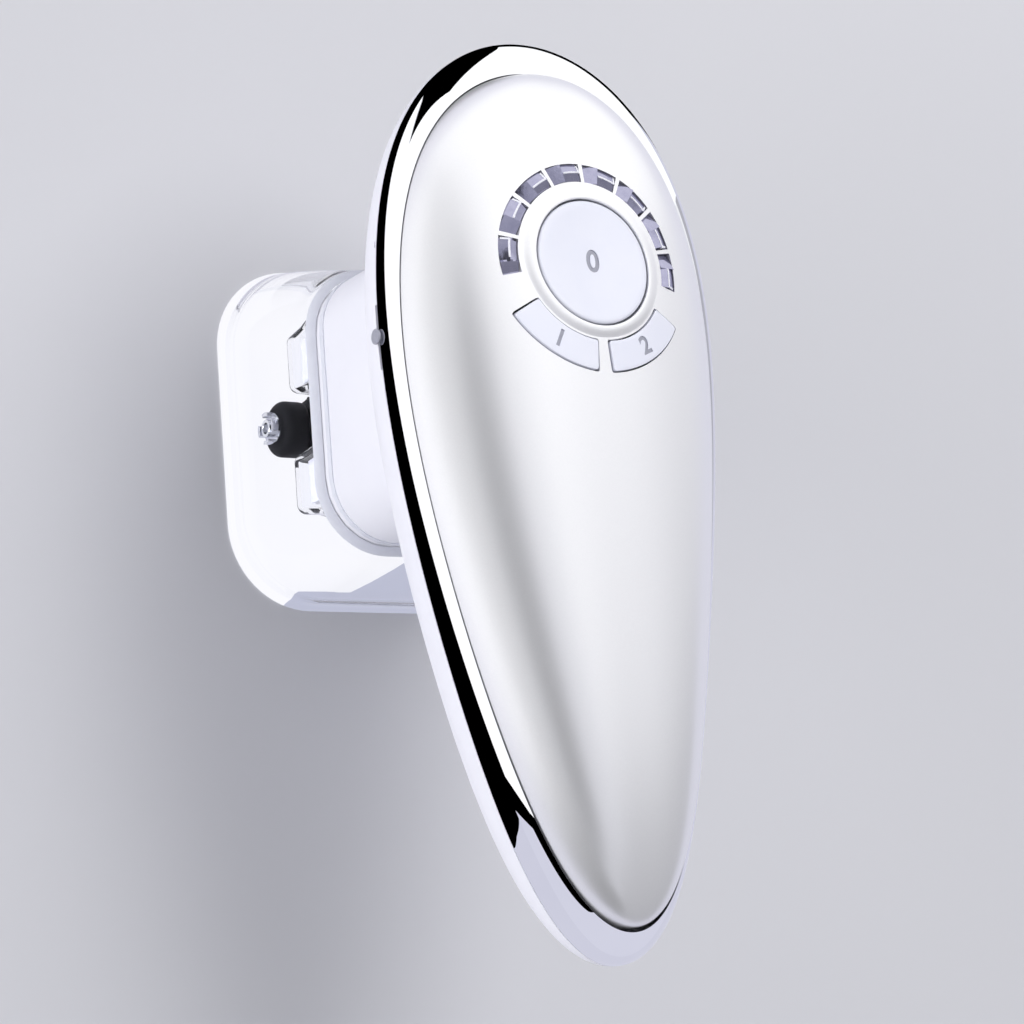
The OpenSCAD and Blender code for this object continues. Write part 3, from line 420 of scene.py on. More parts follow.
def face_outwards(piece: bpy.types.Object) -> None:
    """Merge a piece's doubled points and turn all its faces outwards.

    Args:
        piece: The closed mesh object.
    """
    touching = 0.0001 * MM
    select_only(piece)
    bpy.ops.object.mode_set(mode="EDIT")
    bpy.ops.mesh.select_all(action="SELECT")
    bpy.ops.mesh.remove_doubles(threshold=touching)
    bpy.ops.mesh.normals_make_consistent(inside=False)
    bpy.ops.object.mode_set(mode="OBJECT")


def cut(piece: bpy.types.Object, cutters: Sequence[bpy.types.Object]) -> None:
    """Cut closed shapes out of a piece, and delete them.

    Args:
        piece: The closed shell that is cut.
        cutters: Closed shapes that take material away.
    """
    tool = joined("cutter", cutters)
    apply_modifier(piece, "BOOLEAN", operation="DIFFERENCE", solver="EXACT", object=tool)
    bpy.data.objects.remove(tool, do_unlink=True)


def loft(name: str, rings: Sequence[Ring], start: Point | None = None, end: Point | None = None,
         ) -> bpy.types.Object:
    """Draw a skin from ring to ring, starting from a circle that is extruded once for each ring.

    Args:
        name: Name of the new object.
        rings: Rings of the same number of points, each in order round the piece.
        start: Pole that closes the first ring, if it has one.
        end: Pole that closes the last ring, if it has one.

    Returns:
        The closed mesh. With no poles, the last ring is joined to the first.
    """
    count = len(rings[0])
    piece = primitive(name, bpy.ops.mesh.primitive_circle_add, vertices=count, fill_type="NOTHING")
    for vertex, place in zip(piece.data.vertices, rings[0]):
        vertex.co = place
    bpy.ops.object.mode_set(mode="EDIT")
    bpy.ops.mesh.select_mode(type="EDGE")
    bpy.ops.mesh.select_all(action="SELECT")
    for ring in rings[1:]:
        bpy.ops.mesh.extrude_edges_move()
        shell = bmesh.from_edit_mesh(piece.data)
        shell.verts.ensure_lookup_table()
        for vertex, place in zip(shell.verts[-count:], ring):
            vertex.co = place
    for pole, first in ((end, len(rings) - 1), (start, 0)):
        if pole is None:
            continue
        shell = bmesh.from_edit_mesh(piece.data)
        select_ring(shell, first * count, count)
        bpy.ops.mesh.extrude_edges_move()
        bpy.ops.mesh.merge(type="CENTER")
        shell = bmesh.from_edit_mesh(piece.data)
        for vertex in shell.verts:
            if vertex.select:
                vertex.co = pole
    if start is None and end is None:
        shell = bmesh.from_edit_mesh(piece.data)
        select_ring(shell, 0, count)
        select_ring(shell, (len(rings) - 1) * count, count, keep=True)
        bpy.ops.mesh.bridge_edge_loops()
    bmesh.update_edit_mesh(piece.data)
    bpy.ops.object.mode_set(mode="OBJECT")
    face_outwards(piece)
    return piece


def select_ring(shell: bmesh.types.BMesh, first: int, count: int, keep: bool = False) -> None:
    """Select the points and edges of one ring of a loft.

    Args:
        shell: The mesh in edit mode.
        first: Index of the ring's first point.
        count: Number of points in the ring.
        keep: Whether what is already selected stays so.
    """
    shell.verts.ensure_lookup_table()
    if not keep:
        for vertex in shell.verts:
            vertex.select = False
        for edge in shell.edges:
            edge.select = False
        for face in shell.faces:
            face.select = False
    ring = set(range(first, first + count))
    for edge in shell.edges:
        if edge.verts[0].index in ring and edge.verts[1].index in ring:
            edge.select_set(True)


def lathe(name: str, profile: Sequence[Plan], centre: Point, steps: int = 96) -> bpy.types.Object:
    """Turn a profile of radius and height about an upright axis.

    Args:
        name: Name of the new object.
        profile: Radius and height of each point, from the foot's middle to the top's middle or round.
        centre: Point on the axis that heights are measured from.
        steps: Number of points round the piece.

    Returns:
        The closed mesh.
    """
    def ring(radius: float, height: float) -> Ring:
        """One circle of the turned piece."""
        return [(centre[0] + radius * math.cos(2 * math.pi * i / steps),
                 centre[1] + radius * math.sin(2 * math.pi * i / steps), centre[2] + height)
                for i in range(steps)]

    inner = [p for p in profile if p[0] > 0]
    foot = (centre[0], centre[1], centre[2] + profile[0][1]) if profile[0][0] == 0 else None
    top = (centre[0], centre[1], centre[2] + profile[-1][1]) if profile[-1][0] == 0 else None
    return loft(name, [ring(*p) for p in inner], foot, top)


def arc_block(name: str, centre: Point, radii: Plan, angles: Plan, foot: float,
              top: Callable[[float, float], float], columns: int = 8) -> bpy.types.Object:
    """Spin an upright strip part of the way round an axis, and lay its top on a surface.

    Its upper points start far up, which tells them from the foot's until the surface sets their height.

    Args:
        name: Name of the new object.
        centre: Point on the upright axis.
        radii: Inner and outer radius.
        angles: First and last angle, in degrees from +X.
        foot: Height of the flat foot.
        top: Height of the top at a place in plan.
        columns: Number of strips across the block.

    Returns:
        The closed block.
    """
    least_steps, steps_per_degree = 8, 0.8
    span = angles[1] - angles[0]
    steps = max(least_steps, int(span * steps_per_degree))
    block = primitive(name, bpy.ops.mesh.primitive_grid_add, x_subdivisions=columns,
                      y_subdivisions=1, size=1.0)
    start = math.radians(angles[0])
    far_up = 1.0
    for vertex in block.data.vertices:
        radius = radii[0] + (vertex.co.x + 0.5) * (radii[1] - radii[0])
        vertex.co = (centre[0] + radius * math.cos(start), centre[1] + radius * math.sin(start),
                     far_up if vertex.co.y > 0 else foot)
    bpy.ops.object.mode_set(mode="EDIT")
    bpy.ops.mesh.select_all(action="SELECT")
    bpy.ops.mesh.spin(steps=steps, angle=-math.radians(span), center=(centre[0], centre[1], 0),
                      axis=(0, 0, 1))
    bpy.ops.object.mode_set(mode="OBJECT")
    for vertex in block.data.vertices:
        if vertex.co.z > far_up / 2:
            vertex.co.z = top(vertex.co.x, vertex.co.y)
    face_outwards(block)
    return block


def straight_box(name: str, low: Vector, high: Vector) -> bpy.types.Object:
    """Make a box between two corners.

    Args:
        name: Name of the new object.
        low: Its lowest corner.
        high: Its highest corner.

    Returns:
        The closed box.
    """
    box = primitive(name, bpy.ops.mesh.primitive_cube_add, size=1.0, location=(low + high) / 2)
    box.scale = high - low
    settle(box)
    return box


def ink_and_shade_film(cutter: bpy.types.Object, name: str) -> bpy.types.Object:
    """Copy an engraving's cutter as the thin grey fill on its floor: paint fill, and painted shade in
    the engraving.

    Each upper point of the cutter comes down to the fill's thickness over the lower one under it.

    Args:
        cutter: The cutter, its foot at the engraving's floor.
        name: Name of the ink.

    Returns:
        The closed film of grey fill.
    """
    ink_and_shade = cutter.copy()
    ink_and_shade.data = cutter.data.copy()
    bpy.context.collection.objects.link(ink_and_shade)
    ink_and_shade.name = name
    ink_and_shade.data.name = name
    thickness, clearance = 0.12 * MM, 0.01 * MM

    def plan(vertex: bpy.types.MeshVertex) -> Plan:
        """Place of a point in plan, to the micrometre."""
        return round(vertex.co.x, 6), round(vertex.co.y, 6)

    downwards = sorted(ink_and_shade.data.vertices, key=lambda v: -v.co.z)
    foot = {plan(vertex): vertex.co.z for vertex in downwards}
    for vertex in ink_and_shade.data.vertices:
        low = foot[plan(vertex)]
        vertex.co.z = low + (thickness if vertex.co.z > low + 1 * MM else clearance)
    return ink_and_shade


def round_corners(block: bpy.types.Object, radius: float) -> None:
    """Round the four upright corner edges of an arc block.

    Args:
        block: The block.
        radius: Radius of the corners.
    """
    select_only(block)
    bpy.ops.object.mode_set(mode="EDIT")
    bpy.ops.mesh.select_mode(type="EDGE")
    bpy.ops.mesh.select_all(action="DESELECT")
    sharp, steepness = math.radians(45), 4
    for edge in bmesh.from_edit_mesh(block.data).edges:
        run = edge.verts[0].co - edge.verts[1].co
        upright = abs(run.z) > steepness * math.hypot(run.x, run.y)
        edge.select_set(upright and edge.is_manifold and edge.calc_face_angle() > sharp)
    bmesh.update_edit_mesh(block.data)
    bpy.ops.mesh.bevel(offset=radius, segments=6, affect="EDGES")
    bpy.ops.object.mode_set(mode="OBJECT")


def engraved_numeral(text: str, middle: Point, size: float, turn: float, depth: float,
                     surface: Callable[[float, float], float]) -> bpy.types.Object:
    """Make the cutter that engraves a plain numeral into a surface.

    Args:
        text: The numeral.
        middle: Place of its middle in plan.
        size: Height of the figures.
        turn: Angle of its base line from +X, in degrees.
        depth: Depth of the engraving.
        surface: Height of the surface at a place in plan.

    Returns:
        The closed cutter.
    """
    weight, over = 0.03, 3 * MM
    bpy.ops.object.select_all(action="DESELECT")
    bpy.ops.object.text_add(location=(0, 0, 0))
    letters = bpy.context.active_object
    letters.data.body = text
    letters.data.align_x = "CENTER"
    letters.data.align_y = "CENTER"
    letters.data.size = size
    letters.data.extrude = size
    letters.data.offset = weight * size
    letters.data.resolution_u = 6
    bpy.ops.object.convert(target="MESH")
    letters = bpy.context.active_object
    letters.rotation_euler = (0, 0, math.radians(turn))
    letters.location = (middle[0], middle[1], 0)
    settle(letters)
    for vertex in letters.data.vertices:
        sunk = vertex.co.z < 0
        vertex.co.z = surface(vertex.co.x, vertex.co.y) + (-depth if sunk else over)
    face_outwards(letters)
    return letters


@dataclass(frozen=True)
class EggForm:
    """Form of the handle: its egg outline, the cover's crown and the seam's rise at the tip."""

    half_length: float = 98 * MM
    half_width: float = 38.1 * MM
    swell: float = 15 * MM
    fullness: float = 5.8 * MM
    ease: float = 2.3 * MM
    crown: float = 16.7 * MM
    crown_lean: float = 1.8 * MM
    crown_fullness: float = 4 * MM
    section_power: float = 2.8
    section_reach: float = 1.15
    tip_rise: float = 9 * MM
    rise_start: float = 30 * MM
    trim_top: float = 8.4 * MM
    trim_tip: float = 6.6 * MM
    trim_side: float = 3.1 * MM
    trim_drop: float = 4.2 * MM
    trim_tip_drop: float = 3.7 * MM
    trim_band: float = 0.8 * MM
    rear_depth: float = 22 * MM
    rear_fullness: float = 5 * MM
    rear_power: float = 2.5
    rear_gap: float = 0.2 * MM
    loft_centre: float = 10 * MM
    seam_z: float = 86 * MM

    @property
    def middle_y(self) -> float:
        """Place of the seam's mid-length in the frame."""
        return (self.trim_tip - self.trim_top) / 2

    def half_w(self, c: float) -> float:
        """Half width of the outline at a fraction c of the half length."""
        full = self.half_width + self.swell * c + self.fullness * c * c - self.ease * c ** 3
        return math.sqrt(max(0.0, 1 - c * c)) * full

    def crown_at(self, c: float) -> float:
        """Height of the cover's ridge over the seam at a fraction c of the half length."""
        full = self.crown + self.crown_lean * c + self.crown_fullness * c * c
        return math.sqrt(max(0.0, 1 - c * c)) * full

    def rise(self, y: float) -> float:
        """Rise of the seam towards the tip, at y from mid-length."""
        run = max(0.0, self.rise_start - y) / (self.rise_start + self.half_length)
        return self.tip_rise * run * run

    def section(self, r: float) -> float:
        """Height of the cover's cross-section, from 1 at the ridge to 0 at the seam.

        Args:
            r: Distance from the ridge, as a share of the half width.

        Returns:
            The height, as a share of the crown.
        """
        power = self.section_power
        edge = (1 - (1 / self.section_reach) ** power) ** (1 / power)
        value = (1 - (min(r, 1.0) / self.section_reach) ** power) ** (1 / power)
        return (value - edge) / (1 - edge)

    def dome(self, x: float, y: float) -> float:
        """Height of the cover's surface at a place in plan, in the frame.

        Args:
            x: Distance from the middle of the handle.
            y: Place along the handle.

        Returns:
            The height.
        """
        along = y - self.middle_y
        c = max(-1.0, min(1.0, along / self.half_length))
        width = max(self.half_w(c), 0.01 * MM)
        return self.seam_z + self.rise(along) + self.crown_at(c) * self.section(abs(x) / width)

    def seam_point(self, angle: float) -> Plan:
        """Point of the seam's outline at an angle round the egg, from mid-length."""
        side = self.half_w(math.sin(angle))
        return math.copysign(side, math.cos(angle)), self.half_length * math.sin(angle)

    @property
    def side_scale(self) -> float:
        """How much wider the trim ring is than the seam."""
        return 1 + self.trim_side / max(self.half_w(0.05 * k) for k in range(17))

    def edge_point(self, angle: float) -> Plan:
        """Point of the trim ring's outer edge at an angle round the egg, from mid-length.

        Args:
            angle: Angle in radians, from +X.

        Returns:
            The point in plan.
        """
        reach = self.trim_top if math.sin(angle) > 0 else self.trim_tip
        return (self.seam_point(angle)[0] * self.side_scale,
                math.sin(angle) * (self.half_length + reach))

    def drop(self, c: float) -> float:
        """Drop of the trim ring's face from the seam to its outer edge."""
        return self.trim_drop - self.trim_tip_drop * c / 2 + self.trim_tip_drop * c * c / 3

    def rear_c(self, y: float) -> float:
        """Fraction along the trim ring's outer edge of a place y from mid-length."""
        reach = self.trim_top if y > 0 else self.trim_tip
        return max(-1.0, min(1.0, y / (self.half_length + reach)))

    def rear_edge(self, y: float) -> float:
        """Height of the rear casing's rim at y from mid-length.

        Args:
            y: Place along the handle, from mid-length.

        Returns:
            The height.
        """
        c = self.rear_c(y)
        return (self.seam_z + self.rise(c * self.half_length) - self.drop(c)
                - self.trim_band - self.rear_gap)

    def rear(self, x: float, y: float) -> float:
        """Height of the rear casing's outer surface at x, and y from mid-length.

        Args:
            x: Distance from the middle of the handle.
            y: Place along the handle, from mid-length.

        Returns:
            The height.
        """
        c = self.rear_c(y)
        width = max(self.half_w(c) * self.side_scale, 0.01 * MM)
        r = min(1.0, abs(x) / width)
        deep = math.sqrt(max(0.0, 1 - c * c)) * (self.rear_depth + self.rear_fullness * c * c)
        return self.rear_edge(y) - deep * (1 - r ** self.rear_power) ** (1 / self.rear_power)

    def toward(self, point: Plan, share: float) -> Plan:
        """Point at a share of the way from the loft's centre to an outline point."""
        return point[0] * share, self.loft_centre + (point[1] - self.loft_centre) * share


FORM = EggForm()


def rounded_square(half: float, corner: float, z: float, middle_y: float, arc: int = 16) -> Ring:
    """Points of a square with round corners.

    Args:
        half: Half width.
        corner: Radius of the corners.
        z: Height.
        middle_y: Place of the middle along the handle.
        arc: Number of steps in each corner.

    Returns:
        The points, anticlockwise from +X.
    """
    points: Ring = []
    for quarter in range(4):
        sx = 1 if quarter in (0, 3) else -1
        sy = 1 if quarter < 2 else -1
        for step in range(arc + 1):
            angle = math.pi / 2 * (quarter + step / arc)
            points.append((sx * (half - corner) + corner * math.cos(angle),
                           middle_y + sy * (half - corner) + corner * math.sin(angle), z))
    return points


@dataclass
class ControlPanel:
    """The release button, the ring of level windows and the two mode keys on the cover."""

    button_r: float = 14.4 * MM
    button_lift: float = 0.3 * MM
    button_dish: float = 0.9 * MM
    button_fit: float = 0.4 * MM
    button_edge: float = 0.7 * MM
    button_count: int = 144
    flange_out: float = 1.6 * MM
    flange_h: float = 1.2 * MM
    ring_foot: float = 17.9 * MM
    ring_high: float = 0.4 * MM
    ring_top: float = 0.7 * MM
    key_radii: Plan = (18.4 * MM, 25.2 * MM)
    key_gap: float = 4.8
    key_end: float = 58.0
    key_proud: float = 0.4 * MM
    key_corner: float = 0.9 * MM
    key_fit: float = 0.38 * MM
    window_radii: Plan = (19.1 * MM, 23.2 * MM)
    window_count: int = 8
    window_angle: float = 22.2
    window_bar: float = 3.4
    window_roof: float = 0.85 * MM
    window_eaves: float = 0.45 * MM
    facet_deep: float = 1.25 * MM
    facet_slope: float = 0.45
    facet_share: float = 0.42
    # Width of the white strips that paint highlights on the windows' ridges.
    highlight_strip: float = 0.42 * MM
    fit: float = 0.15 * MM
    numeral_size: float = 5.6 * MM
    numeral_depth: float = 0.35 * MM
    centre: Vector = field(init=False)
    foot: float = field(init=False)
    crown: float = field(init=False)

    def __post_init__(self) -> None:
        """Take the panel's centre from the CAD button."""
        low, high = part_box("release_button")
        self.centre = (low + high) / 2
        self.foot = low.z
        self.crown = FORM.dome(0, self.centre.y)

    def key_angles(self, side: int) -> Plan:
        """First and last angle of the key on one side, in degrees from +X.

        Args:
            side: -1 for the left key, 1 for the right one.

        Returns:
            The two angles.
        """
        if side > 0:
            return -90 + self.key_gap, -90 + self.key_end
        return -90 - self.key_end, -90 - self.key_gap

    def window_start(self, index: int) -> float:
        """First angle of a level window, in degrees from +X."""
        span = self.window_count * self.window_angle + (self.window_count - 1) * self.window_bar
        return 90 - span / 2 + index * (self.window_angle + self.window_bar)

    def openings(self) -> list[bpy.types.Object]:
        """Make the shapes that cut the panel's openings out of the cover.

        Returns:
            Closed cutters for the button, the windows and the keys.
        """
        hole = self.button_r + self.button_fit
        low = FORM.seam_z - 5 * MM
        foot, top = low - self.crown, 12 * MM
        profile = [(0, foot), (hole, foot), (hole, top), (0, top)]
        cutters = [lathe("button_opening", profile, (0, self.centre.y, self.crown), self.button_count)]

        def opening(name: str, radii: Plan, angles: Plan, fit: float) -> bpy.types.Object:
            """Cutter for an arc-shaped piece, with its clearance all round.

            Args:
                name: Name of the cutter.
                radii: Inner and outer radius of the piece.
                angles: First and last angle of the piece.
                fit: The clearance.

            Returns:
                The closed cutter.
            """
            slack = math.degrees(fit / radii[0])
            return arc_block(name, self.centre, (radii[0] - fit, radii[1] + fit),
                             (angles[0] - slack, angles[1] + slack), low,
                             lambda x, y: FORM.dome(x, y) + 4 * MM)

        for index in range(self.window_count):
            start = self.window_start(index)
            cutters.append(opening(f"window_opening_{index}", self.window_radii,
                                   (start, start + self.window_angle), self.fit))
        for side in (-1, 1):
            cutters.append(opening(f"key_opening_{side}", self.key_radii, self.key_angles(side),
                                   self.key_fit))
            round_corners(cutters[-1], self.key_corner + self.key_fit)
        return cutters

    def raised_ring(self) -> bpy.types.Object:
        """Make the soft ring that stands up from the cover round the button.

        Returns:
            The closed ring, its foot under the cover's surface.
        """
        inner = self.button_r + self.button_fit
        deep, sunk, steps = -1.4 * MM, 0.06 * MM, 8
        profile = [(inner, deep), (self.ring_foot, deep)]
        for step in range(steps + 1):
            share = step / steps
            swell = math.sin(math.pi / 2 * share) ** 1.5
            profile.append((self.ring_foot - (self.ring_foot - inner - self.ring_top) * share,
                            -sunk + (self.ring_high + sunk) * swell))
        profile += [(inner + 0.35 * MM, self.ring_high), (inner + 0.1 * MM, self.ring_high - 0.08 * MM),
                    (inner, self.ring_high - 0.25 * MM)]

        def on_cover(radius: float, height: float) -> Ring:
            """One ring at a height over the cover's surface."""
            return [(x, y, FORM.dome(x, y) + height) for x, y in self.circle(radius)]

        return loft("button_ring", [on_cover(*place) for place in profile])

    def circle(self, radius: float) -> list[Plan]:
        """Points of a circle round the button, in plan."""
        angles = (2 * math.pi * step / self.button_count for step in range(self.button_count))
        return [(radius * math.cos(a), self.centre.y + radius * math.sin(a)) for a in angles]

    def build_button(self) -> None:
        """Make the round release button with its shallow dish and soft rim."""
        edge, edge_steps, top_steps = self.button_edge, 5, 22
        flat = self.button_r - edge
        dish_r = self.button_r - 1.2 * MM
        flange_r = self.button_r + self.flange_out
        flange_top = self.foot + self.flange_h

        def top(x: float, y: float) -> float:
            """Height of the button's top at a place in plan."""
            share = math.hypot(x, y - self.centre.y) / dish_r
            return FORM.dome(x, y) + self.button_lift - self.button_dish * max(0.0, 1 - share ** 2)

        rings = [[(x, y, height) for x, y in self.circle(radius)]
                 for radius, height in ((flange_r - 2 * MM, self.foot), (flange_r, self.foot),
                                        (flange_r, flange_top), (self.button_r, flange_top))]
        for step in range(edge_steps + 1):
            turn = math.pi / 2 * step / edge_steps
            fall = edge * (1 - math.sin(turn)) * 0.9
            outline = self.circle(self.button_r - edge * (1 - math.cos(turn)))
            rings.append([(x, y, top(*inside) - fall)
                          for (x, y), inside in zip(outline, self.circle(flat))])
        for step in range(1, top_steps):
            outline = self.circle(flat * (1 - step / top_steps))
            rings.append([(x, y, top(x, y)) for x, y in outline])
        y = self.centre.y
        button = loft("button_cap", rings, (0, y, self.foot), (0, y, top(0, y)))
        numeral = engraved_numeral("0", (0, y, 0), 1.25 * self.numeral_size, 0, self.numeral_depth, top)
        # Grey fill on the engraving's floor: paint fill, and painted shade in the recess.
        ink_and_shade = ink_and_shade_film(numeral, "button_numeral")
        cut(button, [numeral])
        hand_over(ink_and_shade, Body.PLUNGER, Slot.GREY)
        smooth(button)
        hand_over(button, Body.PLUNGER, Slot.PALE_BLUE, "release_button")

    def build_keys(self) -> None:
        """Make the two arc-shaped mode keys with bevelled edges and plain numerals."""
        for side, body, text in ((-1, Body.LEFT_KEY, "1"), (1, Body.RIGHT_KEY, "2")):
            name = "left" if side < 0 else "right"
            first, last = self.key_angles(side)
            key = arc_block(f"mode_key_cap_{name}", self.centre, self.key_radii, (first, last),
                            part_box(f"mode_key_{name}")[0].z,
                            lambda x, y: FORM.dome(x, y) + self.key_proud)
            round_corners(key, self.key_corner)
            apply_modifier(key, "BEVEL", width=0.5 * MM, segments=3, limit_method="ANGLE",
                           angle_limit=math.radians(60), harden_normals=False)
            middle_angle = math.radians((first + last) / 2)
            radius = sum(self.key_radii) / 2
            place = (self.centre.x + radius * math.cos(middle_angle),
                     self.centre.y + radius * math.sin(middle_angle), 0)
            upright_share = 0.2
            turn = (math.degrees(middle_angle) + 90) * (1 - upright_share)
            numeral = engraved_numeral(text, place, self.numeral_size, turn, self.numeral_depth,
                                       lambda x, y: FORM.dome(x, y) + self.key_proud)
            # Grey fill on the engraving's floor: paint fill, and painted shade in the recess.
            ink_and_shade = ink_and_shade_film(numeral, f"key_numeral_{name}")
            cut(key, [numeral])
            hand_over(ink_and_shade, body, Slot.GREY)
            smooth(key)
            hand_over(key, body, Slot.PALE_BLUE, f"mode_key_{name}")

    def facet(self, x: float, y: float) -> float:
        """Height of a window's sloping end facet or, behind it, of its roof with a ridge.

        Args:
            x: Place across the handle.
            y: Place along the handle.

        Returns:
            The height.
        """
        turn = math.degrees(math.atan2(y - self.centre.y, x - self.centre.x)) - self.window_start(0)
        ahead = self.window_angle - turn % (self.window_angle + self.window_bar)
        radius = math.hypot(x - self.centre.x, y - self.centre.y)
        low, high = self.window_radii
        run = math.radians(ahead) * radius
        if ahead < self.facet_share * self.window_angle:
            return FORM.dome(x, y) - self.facet_deep + self.facet_slope * max(0.0, run)
        away = abs(radius - (low + high) / 2) / ((high - low) / 2)
        return FORM.dome(x, y) - self.window_eaves + self.window_roof * (1 - min(1.0, away))

    def build_windows(self) -> None:
        """Make the ring of smoky level windows with roof-shaped facets, and white strips on their ridges
        and bends that are painted highlights.
        """
        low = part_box("level_windows")[0].z
        inner, outer = self.window_radii
        ridge = (inner + outer) / 2
        blocks, bars = [], []
        half = self.highlight_strip / 2
        bar_foot, proud, hairline = low + 1.2 * MM, 0.1 * MM, 0.01
        for index in range(self.window_count):
            start = self.window_start(index)
            end = start + self.window_angle
            split = end - self.facet_share * self.window_angle
            for part, angles in enumerate(((start, split - hairline), (split + hairline, end))):
                blocks.append(arc_block(f"window_{index}_{part}", self.centre, self.window_radii,
                                        angles, low, self.facet, columns=6))
            # White strips along each window's ridge and bend, a hair proud of its facets: painted
            # highlights.
            bend = start + 1.6
            for part, radii, angles in (
                    ("bar", (ridge - half, ridge + half), (bend, split - 0.3)),
                    ("foot", (ridge - half, outer - 0.3 * MM), (start + 0.5, bend))):
                bars.append(arc_block(f"{part}_{index}", self.centre, radii, angles, bar_foot,
                                      lambda x, y: self.facet(x, y) + proud))
        carrier = arc_block(
            "window_carrier", self.centre, (inner - 0.5 * MM, outer + 0.5 * MM),
            (self.window_start(0) - 1, self.window_start(self.window_count - 1)
             + self.window_angle + 1), low - 0.05 * MM, lambda x, y: low + 1.15 * MM)
        windows = joined("level_window_ring", blocks + [carrier])
        smooth(windows, 15)
        hand_over(windows, Body.HOUSING, Slot.SMOKY, "level_windows")
        highlight_strips = joined("level_window_highlight_strips", bars)
        smooth(highlight_strips, 15)
        hand_over(highlight_strips, Body.HOUSING, Slot.WHITE)

    def build(self) -> None:
        """Build all the pieces of the panel."""
        self.build_button()
        self.build_keys()
        self.build_windows()


@dataclass
class Handle:
    """The cover, the trim ring and the rear casing of the egg-shaped handle."""

    around: int = 288
    wall: float = 2.2 * MM
    skirt: float = 2.2 * MM
    seam_gap: tuple[float, float, float] = (0.3 * MM, 0.3 * MM, 0.95 * MM)
    tip_tuck: float = 0.35 * MM
    cover_rings: int = 56
    casing_rings: int = 48
    trim_start: float = 20.0
    trim_steps: int = 14
    neck_opening: Plan = (32.95 * MM, 15.65 * MM)
    slot_half: float = 0.65 * MM
    slot_reach: float = 7.3 * MM

    def angles(self) -> list[float]:
        """Angles of the points round the egg, in radians."""
        return [2 * math.pi * i / self.around for i in range(self.around)]

    def cover_ring(self, share: float, shrink: float = 0.0) -> Ring:
        """Ring of the cover's outer or inner surface.

        Args:
            share: Share of the way from the loft's centre to the seam.
            shrink: Depth of the ring under the outer surface.

        Returns:
            The ring's points.
        """
        ring: Ring = []
        side, top, tip = self.seam_gap
        for angle in self.angles():
            x, y = FORM.toward(FORM.seam_point(angle), share)
            level = FORM.seam_z + FORM.rise(y)
            z = FORM.dome(x, y + FORM.middle_y)
            run = max(0.0, -y / FORM.half_length)
            x *= 1 - (side + self.tip_tuck * run * run) / FORM.half_width
            y *= 1 - (top if y > 0 else tip) / FORM.half_length
            if shrink:
                x *= 1 - shrink / FORM.half_width
                y = FORM.loft_centre + (y - FORM.loft_centre) * (1 - shrink / FORM.half_length)
                z = level + (z - level) * (1 - shrink / FORM.crown)
            ring.append((x, y + FORM.middle_y, z))
        return ring

    def shell_rings(self, ring: Callable[..., Ring], count: int, shrink: float = 0.0) -> list[Ring]:
        """Rings of a shell from its apex outwards, closer together towards its rim.

        Args:
            ring: Ring of the shell at a share of the way out.
            count: Number of rings.
            shrink: Depth of the rings under the outer surface.

        Returns:
            The rings.
        """
        return [ring(math.sin(math.pi / 2 * k / count), shrink) for k in range(1, count + 1)]

    def build_cover(self, panel: ControlPanel) -> None:
        """Make the domed cover with the panel's openings.

        Args:
            panel: The control panel that cuts its openings.
        """
        outer = self.shell_rings(self.cover_ring, self.cover_rings)
        inner = self.shell_rings(self.cover_ring, 12, self.wall)[::-1]
        lowered = [[(x, y, z - self.skirt) for x, y, z in ring] for ring in (outer[-1], inner[0])]
        apex_y = FORM.loft_centre + FORM.middle_y
        apex = FORM.dome(0, apex_y)
        cover = loft("cover_shell", outer + lowered + inner, (0, apex_y, apex),
                     (0, apex_y, apex - self.wall))
        cut(cover, panel.openings())
        cover = joined("cover_shell", [cover, panel.raised_ring()])
        smooth(cover)
        hand_over(cover, Body.HOUSING, Slot.PEARL, "front_cover")

    def trim_ring(self, step: int) -> Ring:
        """Ring of the trim's face, from the seam at step 0 to the outer edge at the last step.

        Args:
            step: Number of the ring, from the seam outwards.

        Returns:
            The ring's points.
        """
        turn = math.radians(self.trim_start + (90 - self.trim_start) * step / self.trim_steps)
        first = math.radians(self.trim_start)
        across = (math.sin(turn) - math.sin(first)) / (1 - math.sin(first))
        down = (math.cos(first) - math.cos(turn)) / math.cos(first)
        ring: Ring = []
        for angle in self.angles():
            seam = FORM.seam_point(angle)
            edge = FORM.edge_point(angle)
            x, y = (a + (b - a) * across for a, b in zip(seam, edge))
            z = FORM.seam_z + FORM.rise(seam[1]) - FORM.drop(math.sin(angle)) * down
            ring.append((x, y + FORM.middle_y, z))
        return ring

    def build_trim(self) -> None:
        """Make the mirror-plated ring between the cover and the casing."""
        face = [self.trim_ring(step) for step in range(self.trim_steps + 1)]
        foot = [(x, y, z - FORM.trim_band) for x, y, z in face[-1]]
        band = [(x, y, z - FORM.trim_band * 0.5) for x, y, z in face[-1]]
        foot_in = [(a[0], a[1], b[2]) for a, b in zip(face[0], foot)]
        trim = loft("trim_band", face + [band, foot, foot_in])
        smooth(trim, 50)
        hand_over(trim, Body.HOUSING, Slot.TRIM, "trim_ring")

    def rear_ring(self, share: float, shrink: float = 0.0) -> Ring:
        """Ring of the casing's outer or inner surface.

        Args:
            share: Share of the way from the loft's centre to the rim.
            shrink: Wall between the ring and the outer surface.

        Returns:
            The ring's points.
        """
        ring: Ring = []
        for angle in self.angles():
            x, y = FORM.toward(FORM.edge_point(angle), share)
            z = FORM.rear(x, y)
            if shrink:
                level = FORM.rear_edge(y)
                x *= 1 - shrink / FORM.half_width
                y = FORM.loft_centre + (y - FORM.loft_centre) * (1 - shrink / FORM.half_length)
                z = level + (z - level) * (1 - shrink / FORM.rear_depth)
            ring.append((x, y + FORM.middle_y, z))
        return ring

